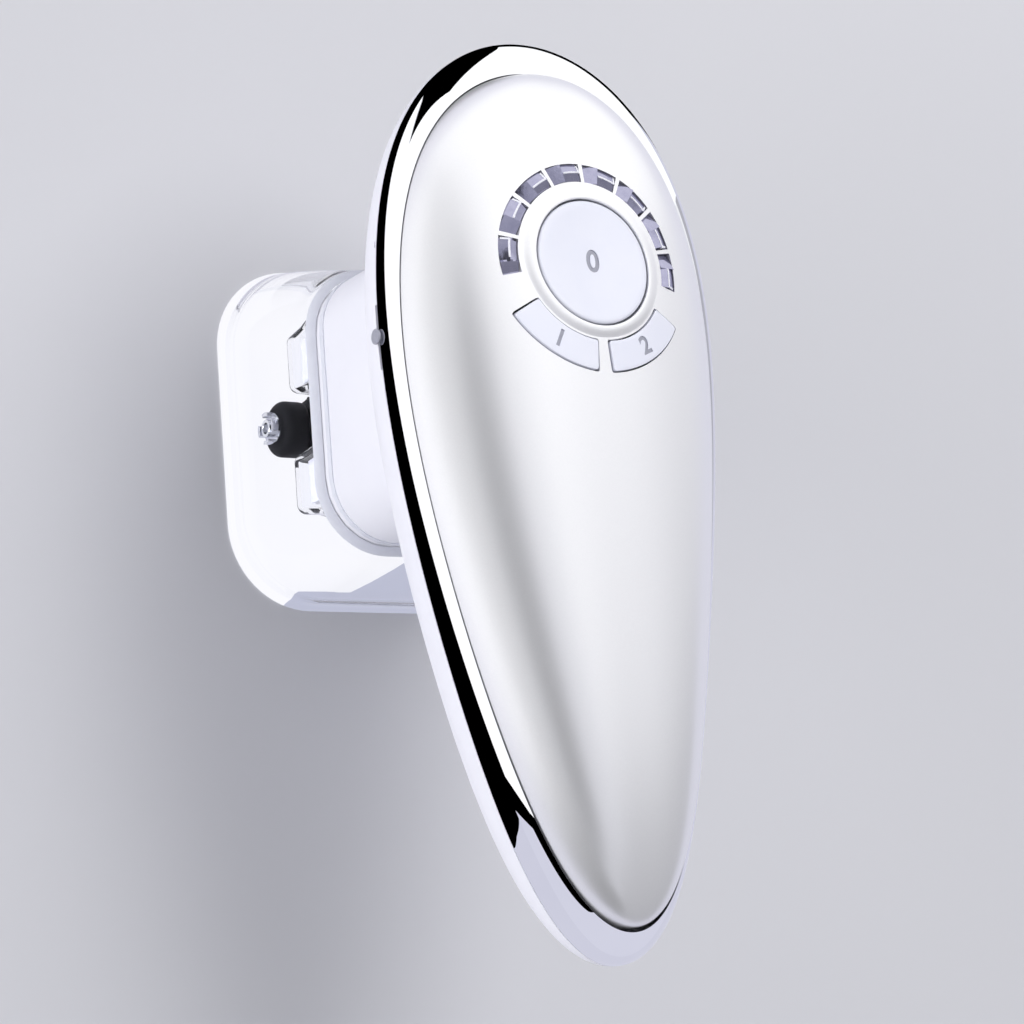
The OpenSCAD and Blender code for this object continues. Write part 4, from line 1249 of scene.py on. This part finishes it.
    def build_casing(self) -> None:
        """Make the rear casing with its openings for the neck, the charging port and the knob."""
        inner = self.shell_rings(self.rear_ring, 16, self.wall)
        outer = self.shell_rings(self.rear_ring, self.casing_rings)[::-1]
        bottom = FORM.rear(0, FORM.loft_centre)
        apex = (0, FORM.loft_centre + FORM.middle_y, bottom)
        casing = loft("casing_shell", inner + outer, (0, apex[1], bottom + self.wall), apex)
        head_y = sum(corner.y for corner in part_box("neck_housing")) / 2
        ends = (40 * MM, FORM.seam_z - 4 * MM)
        neck = loft("neck_opening", [rounded_square(*self.neck_opening, z, head_y) for z in ends],
                    *((0, head_y, z) for z in ends))
        low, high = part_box("charging_port")
        slack = Vector((0.15, 0.15, 0)) * MM
        below = Vector((0, 0, 20)) * MM
        port_hole = straight_box("port_opening", low - slack - below, high + slack)
        apply_modifier(port_hole, "BEVEL", width=1.2 * MM, segments=6, limit_method="ANGLE")
        low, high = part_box("slide_knob")
        middle = (low + high) / 2
        inwards = 14 * MM
        knob_slot = straight_box(
            "knob_slot",
            Vector((low.x - self.slot_reach, middle.y - self.slot_reach, middle.z - self.slot_half)),
            Vector((low.x + inwards, middle.y + self.slot_reach, middle.z + self.slot_half)))
        depth, radius = -30 * MM, 2.3 * MM
        screws = [lathe(f"screw_well_{i}", [(0, depth), (radius, depth), (radius, 0), (0, 0)], place, 40)
                  for i, place in enumerate(screw_places())]
        marks = [self.side_numeral(text, middle.y + away, middle.z)
                 for text, away in (("0", 21.2 * MM), ("1", -12.9 * MM))]
        cut(casing, [neck, port_hole, knob_slot] + screws + marks)
        smooth(casing)
        hand_over(casing, Body.HOUSING, Slot.WHITE, "rear_casing")

    def side_at(self, y: float, z: float) -> float:
        """Half width of the casing at a place along the handle and a height, by halving.

        Args:
            y: Place along the handle, in the frame.
            z: Height in the frame.

        Returns:
            The half width.
        """
        low, high = 0.0, 46 * MM
        for _ in range(24):
            middle = (low + high) / 2
            low, high = (middle, high) if FORM.rear(middle, y - FORM.middle_y) < z else (low, middle)
        return low

    def side_numeral(self, text: str, y: float, z: float) -> bpy.types.Object:
        """Make the cutter of a small numeral beside the knob.

        Args:
            text: The numeral.
            y: Its place along the handle.
            z: Its height.

        Returns:
            The closed cutter.
        """
        height, depth, over = 3.2 * MM, 0.3 * MM, 3 * MM
        mark = engraved_numeral(text, (0, 0, 0), height, 0, 0.0, lambda u, v: 0.0)
        for vertex in mark.data.vertices:
            sunk = vertex.co.z < 1 * MM
            place = (y + vertex.co.y, z + vertex.co.x)
            vertex.co = (-self.side_at(*place) + (depth if sunk else -over), *place)
        face_outwards(mark)
        return mark

    def build_knob(self) -> None:
        """Make the small side knob with a dished face and a soft rim, on its stem."""
        low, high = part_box("slide_knob")
        tuck, thick = 0.2 * MM, 0.55 * MM
        low.x += tuck
        radius = (high.z - low.z) / 2 - 0.25 * MM
        middle = (low + high) / 2
        knob = primitive("side_knob", bpy.ops.mesh.primitive_cylinder_add, vertices=64, radius=radius,
                         depth=thick, location=(low.x + thick / 2, middle.y, middle.z),
                         rotation=(0, -math.pi / 2, 0))
        settle(knob)
        pick_faces(knob, lambda face: face.normal.x < -0.9)
        bpy.ops.mesh.inset(thickness=0.45 * MM)
        bpy.ops.mesh.inset(thickness=0.25 * MM, depth=-0.25 * MM)
        bpy.ops.object.mode_set(mode="OBJECT")
        apply_modifier(knob, "BEVEL", width=0.18 * MM, segments=3, limit_method="ANGLE",
                       angle_limit=math.radians(40))
        across = Vector((0, 1, 0.5)) * MM
        stem = straight_box("knob_stem", Vector((low.x + thick * 0.8, middle.y, middle.z)) - across,
                            Vector((high.x, middle.y, middle.z)) + across)
        knob = joined("side_knob", [knob, stem])
        smooth(knob)
        hand_over(knob, Body.SLIDER, Slot.GREY, "slide_knob")

    def build(self, panel: ControlPanel) -> None:
        """Build the handle's shells and its side knob.

        Args:
            panel: The control panel that cuts its openings in the cover.
        """
        self.build_cover(panel)
        self.build_trim()
        self.build_casing()
        self.build_knob()


def screw_places() -> list[Point]:
    """Places of the casing screws' heads, from the CAD screws.

    Returns:
        The middle of each head's seat.
    """
    points = [vertex.co for vertex in frame["nodes"]["casing_screws"].data.vertices]
    low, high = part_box("casing_screws")
    middle = (low + high) / 2
    head_t = 1.5 * MM
    places: list[Point] = []
    for sx in (-1, 1):
        for sy in (-1, 1):
            near = [p for p in points if (p.x - middle.x) * sx > 0 and (p.y - middle.y) * sy > 0]
            x = (min(p.x for p in near) + max(p.x for p in near)) / 2
            y = (min(p.y for p in near) + max(p.y for p in near)) / 2
            places.append((x, y, low.z + head_t))
    LOG.info("screw heads at %s", places)
    return places


@dataclass
class CupHead:
    """The neck, the clear cup and the two light windows that it holds."""

    neck_half: float = 32.8 * MM
    neck_corner: float = 15.5 * MM
    cup_half: float = 41.8 * MM
    cup_corner: float = 20 * MM
    cup_wall: float = 2.2 * MM
    cup_h: float = 31.6 * MM
    collar_fit: float = 0.2 * MM
    collar_rise: float = 1.3 * MM
    collar_wall: float = 1.9 * MM
    rim_land: float = 4.0 * MM
    bead: float = 0.9 * MM
    bead_r: float = 1.1 * MM
    middle_y: float = field(init=False)
    neck_low: float = field(init=False)
    neck_high: float = field(init=False)

    def __post_init__(self) -> None:
        """Take the head's middle from the CAD neck."""
        low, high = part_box("neck_housing")
        self.middle_y = (low.y + high.y) / 2
        self.neck_low = low.z
        self.neck_high = high.z

    def build_neck(self) -> None:
        """Make the square neck tube with softened ends."""
        wall, soft = 2.4 * MM, 0.3 * MM
        rows = [(0.0, self.neck_low + soft), (-soft, self.neck_low), (-wall, self.neck_low),
                (-wall, self.neck_high), (-soft, self.neck_high), (0.0, self.neck_high)]
        neck = loft("neck_tube", [rounded_square(self.neck_half + d, self.neck_corner + d, z,
                                                 self.middle_y) for d, z in rows])
        smooth(neck)
        hand_over(neck, Body.HOUSING, Slot.WHITE, "neck_housing")

    @property
    def collar_half(self) -> float:
        """Half width of the cup's collar, outside."""
        return self.neck_half + self.collar_fit + self.collar_wall

    def corner_centre(self, half: float) -> float:
        """Distance of a corner arc's centre from the middle, for a ring of a half width.

        Args:
            half: Half width of the ring.

        Returns:
            The distance, which grows from the collar to the rim.
        """
        neck = self.neck_half - self.neck_corner
        cup = self.cup_half - self.cup_corner
        run = (half - self.collar_half) / (self.cup_half - self.collar_half)
        return neck + (cup - neck) * max(0.0, min(1.0, run))

    def wall_at(self, height: float) -> float:
        """Half width of the cup's drafted wall, outside, at a height over the rim.

        Args:
            height: Height over the rim.

        Returns:
            The half width.
        """
        run = max(0.0, min(1.0, (self.cup_h - height) / (self.cup_h - self.rim_land)))
        share = 0.75 * run + 0.25 * math.sin(math.pi / 2 * run)
        return self.collar_half + (self.cup_half - self.collar_half) * share

    def build_cup(self) -> None:
        """Make the clear cup with its drafted wall, short collar and beaded rim, and its frosted lip.

        The lip is a thin film over the collar's bevelled end, and keeps light from being trapped in it.
        """
        top = self.cup_h + self.collar_rise
        outside = self.collar_half
        inside = self.neck_half + self.collar_fit
        foot = self.cup_half - self.cup_wall
        rows = [(inside + 0.15 * MM, top), (inside + 0.5 * MM, top - 0.12 * MM),
                (outside - 0.35 * MM, top - 0.85 * MM), (outside, top - 1.25 * MM)]
        steps, bead_steps = 16, 8
        for step in range(steps + 1):
            height = self.cup_h + (self.rim_land - self.cup_h) * step / steps
            rows.append((self.wall_at(height), height))
        for step in range(bead_steps + 1):
            angle = math.pi * (0.3 - 0.8 * step / bead_steps)
            rows.append((self.cup_half + self.bead + self.bead_r * (math.cos(angle) - 1),
                         self.bead_r * (1 + math.sin(angle))))
        rows += [(foot + 0.6 * MM, 0.0), (foot + 0.15 * MM, 0.25 * MM), (foot, 0.8 * MM)]
        for step in range(steps + 1):
            height = self.rim_land + (self.cup_h - self.rim_land) * step / steps
            wall = self.cup_wall + (self.collar_wall - self.cup_wall) * step / steps
            rows.append((self.wall_at(height) - wall, height))
        rows.append((inside, top))
        film, gap = 0.12 * MM, 0.02 * MM
        lip = [(inside + gap, top + film), (inside + 0.5 * MM, top),
               (outside - 0.3 * MM, top - 0.75 * MM), (outside + film, top - 1.3 * MM),
               (outside + gap, top - 1.3 * MM), (outside - 0.35 * MM, top - 0.85 * MM + gap),
               (inside + 0.5 * MM, top - 0.12 * MM + gap), (inside + gap, top + gap)]
        for name, outline, slot, nodes in (("clear_cup", rows, Slot.CLEAR, ("suction_cup",)),
                                           ("cup_lip", lip, Slot.SEAL, ())):
            piece = loft(name, [rounded_square(h, h - self.corner_centre(h), z, self.middle_y)
                                for h, z in outline])
            smooth(piece, 40)
            hand_over(piece, Body.HOUSING, slot, *nodes)

    def build_light_windows(self) -> None:
        """Make the two clear blocks over the lights, hollow, with drafted sides and soft edges."""
        ends, depth = Vector((0.9, 0, 0)) * MM, Vector((0, 0, 1.8)) * MM
        draft_in, draft_out = 1.0 * MM, 2.6 * MM
        for name, side in (("light_window_upper", 1), ("light_window_lower", -1)):
            low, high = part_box(name)
            low -= ends + depth
            high += ends
            middle = (low + high) / 2
            block = straight_box(name.replace("light_window", "lens_block"), low, high)
            for vertex in block.data.vertices:
                if vertex.co.z < middle.z:
                    outside = (vertex.co.y - middle.y) * side > 0
                    vertex.co.y += side * (-draft_out if outside else draft_in)
            pick_faces(block, lambda face: face.normal.z > 0.9)
            bpy.ops.mesh.delete(type="FACE")
            bpy.ops.object.mode_set(mode="OBJECT")
            apply_modifier(block, "BEVEL", width=2.2 * MM, segments=8, limit_method="ANGLE",
                           angle_limit=math.radians(40))
            apply_modifier(block, "SOLIDIFY", thickness=1.6 * MM, offset=-1.0,
                           use_even_offset=True)
            face_outwards(block)
            smooth(block)
            hand_over(block, Body.HOUSING, Slot.CLEAR, name)


@dataclass
class Roller:
    """The rubber roller with its plated end caps."""

    end_lobe: float = 6.8 * MM
    big_lobe: float = 8 * MM
    half_length: float = 32.8 * MM
    sleeve: float = 3.4 * MM
    edge: float = 2.2 * MM
    hanger_x: float = 15.6 * MM
    hanger_half: float = 1.9 * MM
    rib_count: int = 8
    rib: float = 1.4 * MM
    cap_r: float = 3.9 * MM
    cap_flange: float = 0.8 * MM
    prong: float = 1.7 * MM
    prong_wall: float = 0.9 * MM
    prong_angle: float = 44.0
    axis: Vector = field(init=False)

    def __post_init__(self) -> None:
        """Take the roller's axis from the CAD axle."""
        low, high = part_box("roller_axle")
        self.axis = (low + high) / 2

    def lobe_profile(self, radius: float, first: float, last: float) -> list[Plan]:
        """Rounded outline of one lobe, as radius and distance along the axis.

        Args:
            radius: Radius of the lobe.
            first: Where it starts along the axis.
            last: Where it ends along the axis.

        Returns:
            The outline, from its first end to its last.
        """
        e, steps = min(self.edge, (last - first) / 2 - 0.1 * MM), 8
        turns = [math.pi / 2 * step / steps for step in range(steps + 1)]
        rise = [(radius - e + e * math.sin(a), first + e - e * math.cos(a)) for a in turns]
        fall = [(radius - e + e * math.sin(a), last - e + e * math.cos(a)) for a in turns[::-1]]
        return rise + fall

    def along_axis(self, piece: bpy.types.Object) -> None:
        """Turn an upright piece so that its axis is the roller's."""
        piece.rotation_euler = (0, math.pi / 2, 0)
        piece.location = self.axis
        settle(piece)

    def build_rubber(self) -> None:
        """Make the three stretches of rubber, with ribs moulded on the large lobes."""
        inner = self.hanger_x - self.hanger_half
        outer = self.hanger_x + self.hanger_half
        third = 2 * inner / 3
        middle = (outer + self.half_length) / 2
        stretches = [
            [(self.end_lobe, -inner, -third / 2), (self.big_lobe, -third / 2, third / 2),
             (self.end_lobe, third / 2, inner)],
            [(self.big_lobe, outer, middle), (self.end_lobe, middle, self.half_length)],
            [(self.end_lobe, -self.half_length, -middle), (self.big_lobe, -middle, -outer)]]
        parts = []
        for number, lobes in enumerate(stretches):
            first, last = lobes[0][1], lobes[-1][2]
            profile = [(self.sleeve, first)]
            for lobe in lobes:
                profile += self.lobe_profile(*lobe)
            profile.append((self.sleeve, last))
            parts.append(lathe(f"rubber_{number}", profile, (0, 0, 0), 96))
            for radius, low, high in lobes:
                if radius == self.big_lobe:
                    parts += self.ribs(low + self.edge, high - self.edge)
        rubber = joined("roller_lobes", parts)
        self.along_axis(rubber)
        smooth(rubber, 50)
        hand_over(rubber, Body.ROLLER, Slot.RUBBER, "roller_rubber")

    def ribs(self, low: float, high: float) -> list[bpy.types.Object]:
        """Make the rounded ribs round one large lobe.

        Args:
            low: Where the ribs start along the axis.
            high: Where they end along the axis.

        Returns:
            The ribs.
        """
        made = []
        reach = self.big_lobe - self.rib / 2
        for index in range(self.rib_count):
            angle = 2 * math.pi * index / self.rib_count
            rib = primitive(f"rib_{index}", bpy.ops.mesh.primitive_cylinder_add, vertices=24,
                            radius=self.rib, depth=high - low,
                            location=(reach * math.cos(angle), reach * math.sin(angle),
                                      (low + high) / 2))
            settle(rib)
            apply_modifier(rib, "BEVEL", width=0.5 * MM, segments=3, limit_method="ANGLE")
            made.append(rib)
        return made

    def build_caps(self) -> None:
        """Make the two plated end caps, each with four prongs round a short tube."""
        start = self.half_length + 0.1 * MM
        shoulder = start + self.cap_flange
        foot, end = start + self.cap_flange * 0.5, shoulder + self.prong
        soft, chamfer = 0.15 * MM, 0.1 * MM
        bore, outside = 1.35 * MM, 2.15 * MM
        base = [(0, start), (self.cap_r - soft, start), (self.cap_r, start + soft),
                (self.cap_r, shoulder), (0, shoulder)]
        tube = [(outside, foot), (outside, end - chamfer), (outside - chamfer, end),
                (bore + chamfer, end), (bore, end - chamfer), (bore, foot)]
        caps = []
        for side in (-1, 1):
            pieces = [lathe("cap_base", base, (0, 0, 0), 64), lathe("cap_tube", tube, (0, 0, 0), 64)]
            for quarter in range(4):
                first = 90 * quarter - self.prong_angle / 2
                pieces.append(arc_block(f"prong_{quarter}", (0, 0, 0),
                                        (self.cap_r - self.prong_wall, self.cap_r),
                                        (first, first + self.prong_angle), foot,
                                        lambda x, y: end, columns=2))
                apply_modifier(pieces[-1], "BEVEL", width=0.12 * MM, segments=2, limit_method="ANGLE")
            caps.append(joined(f"end_cap_{side}", pieces))
            if side < 0:
                caps[-1].rotation_euler = (math.pi, 0, 0)
                settle(caps[-1])
        both = joined("roller_caps", caps)
        self.along_axis(both)
        smooth(both)
        hand_over(both, Body.ROLLER, Slot.CAPS, "roller_end_caps")

    def build(self) -> None:
        """Build the roller's rubber and caps."""
        self.build_rubber()
        self.build_caps()


# Pieces of the housing that keep the CAD model's form, with the width of their broken edges.
SOFTENED = {
    "head_plate": 0.3 * MM,
    "roller_hangers": 0.3 * MM,
    "reflector_upper": 0.25 * MM,
    "reflector_lower": 0.25 * MM,
    "charging_port": 0.12 * MM,
}


def softened_copy(node: str, width: float) -> None:
    """Copy a CAD node of the housing, merge its mesh and break its edges with a small bevel.

    Args:
        node: Name of the CAD node.
        width: Width of the broken edges.
    """
    touching, flat = 0.001 * MM, math.radians(1.0)
    source = frame["nodes"][node]
    piece = source.copy()
    piece.data = source.data.copy()
    piece.name = f"{node}_softened"
    piece.parent = None
    bpy.context.collection.objects.link(piece)
    select_only(piece)
    bpy.ops.object.mode_set(mode="EDIT")
    bpy.ops.mesh.select_all(action="SELECT")
    bpy.ops.mesh.remove_doubles(threshold=touching)
    bpy.ops.mesh.dissolve_limited(angle_limit=flat)
    bpy.ops.object.mode_set(mode="OBJECT")
    apply_modifier(piece, "BEVEL", width=width, segments=2, limit_method="ANGLE",
                   angle_limit=math.radians(40))
    smooth(piece, 30)
    hand_over(piece, Body.HOUSING, SLOT_OF[node], node)


def dress_cad_nodes() -> None:
    """Give every CAD node the finish of its own slot."""
    for name, node in frame["nodes"].items():
        dress(node, SLOT_OF[name])
    LOG.info("dressed %d CAD nodes", len(frame["nodes"]))


class Gloss(Enum):
    """Kinds of reflection that a card shows in."""

    MIRROR = "mirror"
    SOFT = "soft"


@dataclass(frozen=True)
class Card:
    """A card round the set that only reflections see: the face of a soft box, or a flag.

    It spans directions in plan, in degrees from +X towards +Y, and heights over the floor, in degrees.
    Its lower and its upper edge rise by the slant from the first direction to the last one.
    """

    name: str
    gloss: Gloss
    turn: Plan
    rise: Plan
    strength: float
    shade: str = "#FFFFFF"
    slant: Plan = (0.0, 0.0)


CARDS = (
    Card("left_softbox", Gloss.MIRROR, (106, 195.5), (12, 79), 1.2),
    Card("back_softbox", Gloss.MIRROR, (69, 106), (48, 79), 1.2),
    Card("right_softbox", Gloss.MIRROR, (26, 69), (-2, 79), 1.2),
    Card("right_edge", Gloss.MIRROR, (5, 26), (-2, 17), 0.6, "#E8E8F2"),
    Card("right_edge_top", Gloss.MIRROR, (5, 26), (17, 79), 1.0),
    Card("front_wall_left", Gloss.MIRROR, (200, 262), (-2, 33), 0.95, "#E2E2F0", (0, 37)),
    Card("front_wall", Gloss.MIRROR, (262, 365), (-2, 79), 0.95, "#E2E2F0"),
    Card("high_flag", Gloss.MIRROR, (200, 262), (33, 79), 0.0, "#FFFFFF", (37, 0)),
    Card("left_flag", Gloss.MIRROR, (69, 200), (-3, 12), 0.0),
    Card("left_flag_top", Gloss.MIRROR, (130, 168), (12, 14.5), 0.0),
    Card("far_flag", Gloss.MIRROR, (105, 130), (12, 21), 0.0),
    Card("back_flag", Gloss.MIRROR, (69, 105), (12, 48), 0.0),
    Card("tip_flag", Gloss.MIRROR, (195.5, 200), (12, 79), 0.0),
    Card("left_glow", Gloss.SOFT, (134, 197), (-3, 19), 1.15),
    Card("left_haze", Gloss.SOFT, (134, 194), (19, 43), 0.62),
    Card("overhead_gap", Gloss.SOFT, (140, 222), (46, 73), 0.02),
    Card("bright_side", Gloss.SOFT, (27, 128), (-3, 76), 1.15),
    Card("bright_edge", Gloss.SOFT, (7, 27), (-3, 80), 0.8, "#FBFBFF"),
    Card("dim_tip", Gloss.SOFT, (197, 262), (-3, 45), 0.12),
    Card("dim_front", Gloss.SOFT, (262, 367), (-3, 72), 0.4, "#F6F6FC"),
)


@dataclass(frozen=True)
class Lamp:
    """A rectangular soft lamp, with its place and size in metres and its power in watts."""

    name: str
    place: Point
    size: Plan
    power: float


LAMPS = (
    Lamp("key", (0.45, 0.55, 1.1), (0.8, 0.8), 9.0),
    Lamp("fill", (-1.1, -0.15, 0.25), (0.9, 0.5), 7.0),
)


@dataclass
class Studio:
    """The camera, the pale floor, the soft lamps and the cards that the bright trim reflects."""

    camera_place: Point = (-338.2 * MM, -123.9 * MM, 581.7 * MM)
    camera_right: Point = (0.84444, -0.07851, 0.52938)
    camera_up: Point = (-0.03896, 0.97757, 0.20702)
    focal_mm: float = 96.75
    sensor_mm: float = 36.0
    aim_z: float = 60 * MM
    floor_size: float = 12.0
    card_reach: float = 5.0
    floor_flag: tuple[Plan, ...] = (
        (-0.055, -0.105), (-0.14, -0.134), (-0.74, -0.355), (-5.9, -2.25), (-5.9, 5.9), (5.9, 4.3),
        (0.09, 0.11), (-0.055, 0.12))
    # Grey glow under the cup's side towards the tip, seen only through its walls: painted shade.
    painted_shade_sheet: tuple[Plan, ...] = (
        (-0.044, -0.0128), (0.06, -0.0128), (0.06, 0.03), (-0.044, 0.03))
    # White glow under the cup, seen only through its walls: painted light inside the cup.
    painted_light_sheet: tuple[Plan, ...] = (
        (-0.048, 0.078), (-0.048, -0.004), (-0.042, -0.009), (-0.033, -0.0125), (-0.0288, -0.0115),
        (-0.0265, -0.009), (-0.0242, -0.0074), (-0.0102, -0.0072), (-0.0038, -0.0045), (0.006, 0.0004),
        (0.02, 0.008), (0.048, 0.012), (0.048, 0.078))

    def place_camera(self) -> None:
        """Put the camera at the photograph's viewpoint, with its up axis squared to its right one."""
        data = bpy.data.cameras.new("photo_camera")
        data.lens = self.focal_mm
        data.sensor_width = self.sensor_mm
        data.sensor_fit = "HORIZONTAL"
        camera = bpy.data.objects.new("photo_camera", data)
        bpy.context.collection.objects.link(camera)
        right = Vector(self.camera_right).normalized()
        up = Vector(self.camera_up)
        up = (up - right * up.dot(right)).normalized()
        back = right.cross(up)
        turn = Matrix((right, up, back)).transposed().to_4x4()
        camera.matrix_world = Matrix.Translation(self.camera_place) @ turn
        bpy.context.scene.camera = camera

    def lay_floor(self) -> None:
        """Lay the pale floor, which metal shows as an evenly lit sweep."""
        floor = primitive("floor", bpy.ops.mesh.primitive_plane_add, size=self.floor_size)
        material = bpy.data.materials.new("pale_paper")
        material.use_nodes = True
        tree = material.node_tree
        paper = tree.nodes["Principled BSDF"]
        paper.inputs["Base Color"].default_value = linear("#D6D6DA")
        paper.inputs["Roughness"].default_value = 0.8
        path = add_node(tree, "ShaderNodeLightPath")
        reflected = add_node(tree, "ShaderNodeMath", {"operation": "SUBTRACT", "use_clamp": True},
                             links={0: path.outputs["Is Glossy Ray"],
                                    1: path.outputs["Is Transmission Ray"]})
        lit = add_node(tree, "ShaderNodeEmission", values={"Color": linear("#D8D8E6")})
        mixed = add_node(tree, "ShaderNodeMixShader", links={
            0: reflected.outputs[0], 1: paper.outputs[0], 2: lit.outputs[0]})
        tree.links.new(mixed.outputs[0], tree.nodes["Material Output"].inputs["Surface"])
        floor.data.materials.append(material)

    def hang_card(self, card: Card) -> None:
        """Hang one curved card round the set.

        Args:
            card: Its directions, colour and glow.
        """
        sheet = primitive(card.name, bpy.ops.mesh.primitive_grid_add, x_subdivisions=24,
                          y_subdivisions=12, size=1.0)
        for vertex in sheet.data.vertices:
            across, up = vertex.co.x + 0.5, vertex.co.y + 0.5
            turn = math.radians(card.turn[0] + across * (card.turn[1] - card.turn[0]))
            low, high = (edge + across * more for edge, more in zip(card.rise, card.slant))
            rise = math.radians(low + up * (high - low))
            vertex.co = Vector((math.cos(rise) * math.cos(turn), math.cos(rise) * math.sin(turn),
                                math.sin(rise))) * self.card_reach
        self.show_to_gloss(sheet, card)

    def lay_sheet(self, name: str, outline: Sequence[Plan], height: float) -> bpy.types.Object:
        """Lay a flat sheet on the floor.

        Args:
            name: Its name.
            outline: Its corners in plan, in metres.
            height: Its height over the floor.

        Returns:
            The sheet.
        """
        sheet = primitive(name, bpy.ops.mesh.primitive_circle_add, vertices=len(outline),
                          fill_type="NGON")
        for vertex, (x, y) in zip(sheet.data.vertices, outline):
            vertex.co = (x, y, height)
        return sheet

    def lay_painted_glow_sheet(self, name: str, outline: Sequence[Plan], height: float, shade: str,
                        strength: float) -> None:
        """Lay a glowing sheet under the cup that only shows through its clear walls; a white one paints
        light in the cup, a grey one paints shade.

        Args:
            name: Its name.
            outline: Its corners in plan, in metres.
            height: Its height over the floor.
            shade: Its colour.
            strength: Its glow.
        """
        material = blank_material(name)
        glow = add_node(material.node_tree, "ShaderNodeEmission",
                        values={"Color": linear(shade), "Strength": strength})
        add_node(material.node_tree, "ShaderNodeOutputMaterial", links={"Surface": glow.outputs[0]})
        self.hide(self.lay_sheet(name, outline, height), material, "glossy")

    def hide(self, sheet: bpy.types.Object, material: bpy.types.Material, kind: str) -> None:
        """Give a sheet of the set its material and hide it from the camera and most light.

        Args:
            sheet: The sheet's mesh.
            material: Its glowing material.
            kind: Glossy or transmission, the kind of ray that it is hidden from as well.
        """
        sheet.data.materials.append(material)
        for ray in ("camera", "diffuse", "volume_scatter", "shadow", kind):
            setattr(sheet, f"visible_{ray}", False)

    def show_to_gloss(self, sheet: bpy.types.Object, card: Card) -> None:
        """Give a card its glow and let only its kind of reflection see it.

        Args:
            sheet: The card's mesh.
            card: Its colour, glow and kind of reflection.
        """
        material = blank_material(card.name)
        tree = material.node_tree
        path = add_node(tree, "ShaderNodeLightPath")
        glow = add_node(tree, "ShaderNodeEmission",
                        values={"Color": linear(card.shade), "Strength": card.strength})
        gone = add_node(tree, "ShaderNodeBsdfTransparent")
        first, second = (gone, glow) if card.gloss is Gloss.MIRROR else (glow, gone)
        mixed = add_node(tree, "ShaderNodeMixShader", links={
            0: path.outputs["Is Singular Ray"], 1: first.outputs[0], 2: second.outputs[0]})
        add_node(tree, "ShaderNodeOutputMaterial", links={"Surface": mixed.outputs[0]})
        self.hide(sheet, material, "transmission")

    def add_lamp(self, lamp: Lamp) -> None:
        """Add one soft lamp that faces the middle of the object, which reflections don't show.

        Args:
            lamp: Its place, size and power.
        """
        data = bpy.data.lights.new(lamp.name, "AREA")
        data.shape = "RECTANGLE"
        data.size, data.size_y = lamp.size
        data.energy = lamp.power
        stand = bpy.data.objects.new(lamp.name, data)
        bpy.context.collection.objects.link(stand)
        stand.location = lamp.place
        aim = Vector((0, 0, self.aim_z)) - stand.location
        stand.rotation_euler = aim.to_track_quat("-Z", "Y").to_euler()
        stand.visible_glossy = False

    def light(self) -> None:
        """Light the set with a pale surround, a soft key and a low fill, and hang the cards."""
        world = bpy.data.worlds.new("studio")
        bpy.context.scene.world = world
        world.use_nodes = True
        tree = world.node_tree
        tree.nodes.clear()
        path = add_node(tree, "ShaderNodeLightPath")
        seen = path.outputs["Is Camera Ray"]
        for ray in ("Is Glossy Ray", "Is Transmission Ray"):
            seen = add_node(tree, "ShaderNodeMath", {"operation": "MAXIMUM"},
                            links={0: seen, 1: path.outputs[ray]}).outputs[0]
        lit, seen_glow = 0.55, 0.78
        plain, shown = (add_node(tree, "ShaderNodeBackground", values={
            "Color": linear("#E4E5EC"), "Strength": strength}) for strength in (lit, seen_glow))
        mixed = add_node(tree, "ShaderNodeMixShader",
                         links={0: seen, 1: plain.outputs[0], 2: shown.outputs[0]})
        add_node(tree, "ShaderNodeOutputWorld", links={"Surface": mixed.outputs[0]})
        for lamp in LAMPS:
            self.add_lamp(lamp)
        for card in CARDS:
            self.hang_card(card)
        flag = self.lay_sheet("floor_flag", self.floor_flag, 1 * MM)
        self.show_to_gloss(flag, Card("floor_flag", Gloss.MIRROR, (0, 0), (0, 0), 0.0))
        # Glowing sheets seen only through the cup's walls: painted light inside the cup, and painted
        # shade under its side towards the tip.
        self.lay_painted_glow_sheet("painted_light_sheet", self.painted_light_sheet, 0.4 * MM, "#FBFBFF", 1.02)
        self.lay_painted_glow_sheet("painted_shade_sheet", self.painted_shade_sheet, 0.2 * MM, "#BEC1D4", 1.0)

    def build(self) -> None:
        """Set up the camera, the floor and the lamps."""
        self.place_camera()
        self.lay_floor()
        self.light()
        bpy.context.scene.view_settings.view_transform = "Standard"


def main() -> None:
    """Build every class in order."""
    logging.basicConfig(level=logging.INFO, format="%(name)s: %(message)s")
    Studio().build()
    dress_cad_nodes()
    panel = ControlPanel()
    Handle().build(panel)
    panel.build()
    head = CupHead()
    head.build_neck()
    head.build_cup()
    head.build_light_windows()
    Roller().build()
    for node, width in SOFTENED.items():
        softened_copy(node, width)


if __name__ == "__main__":
    main()
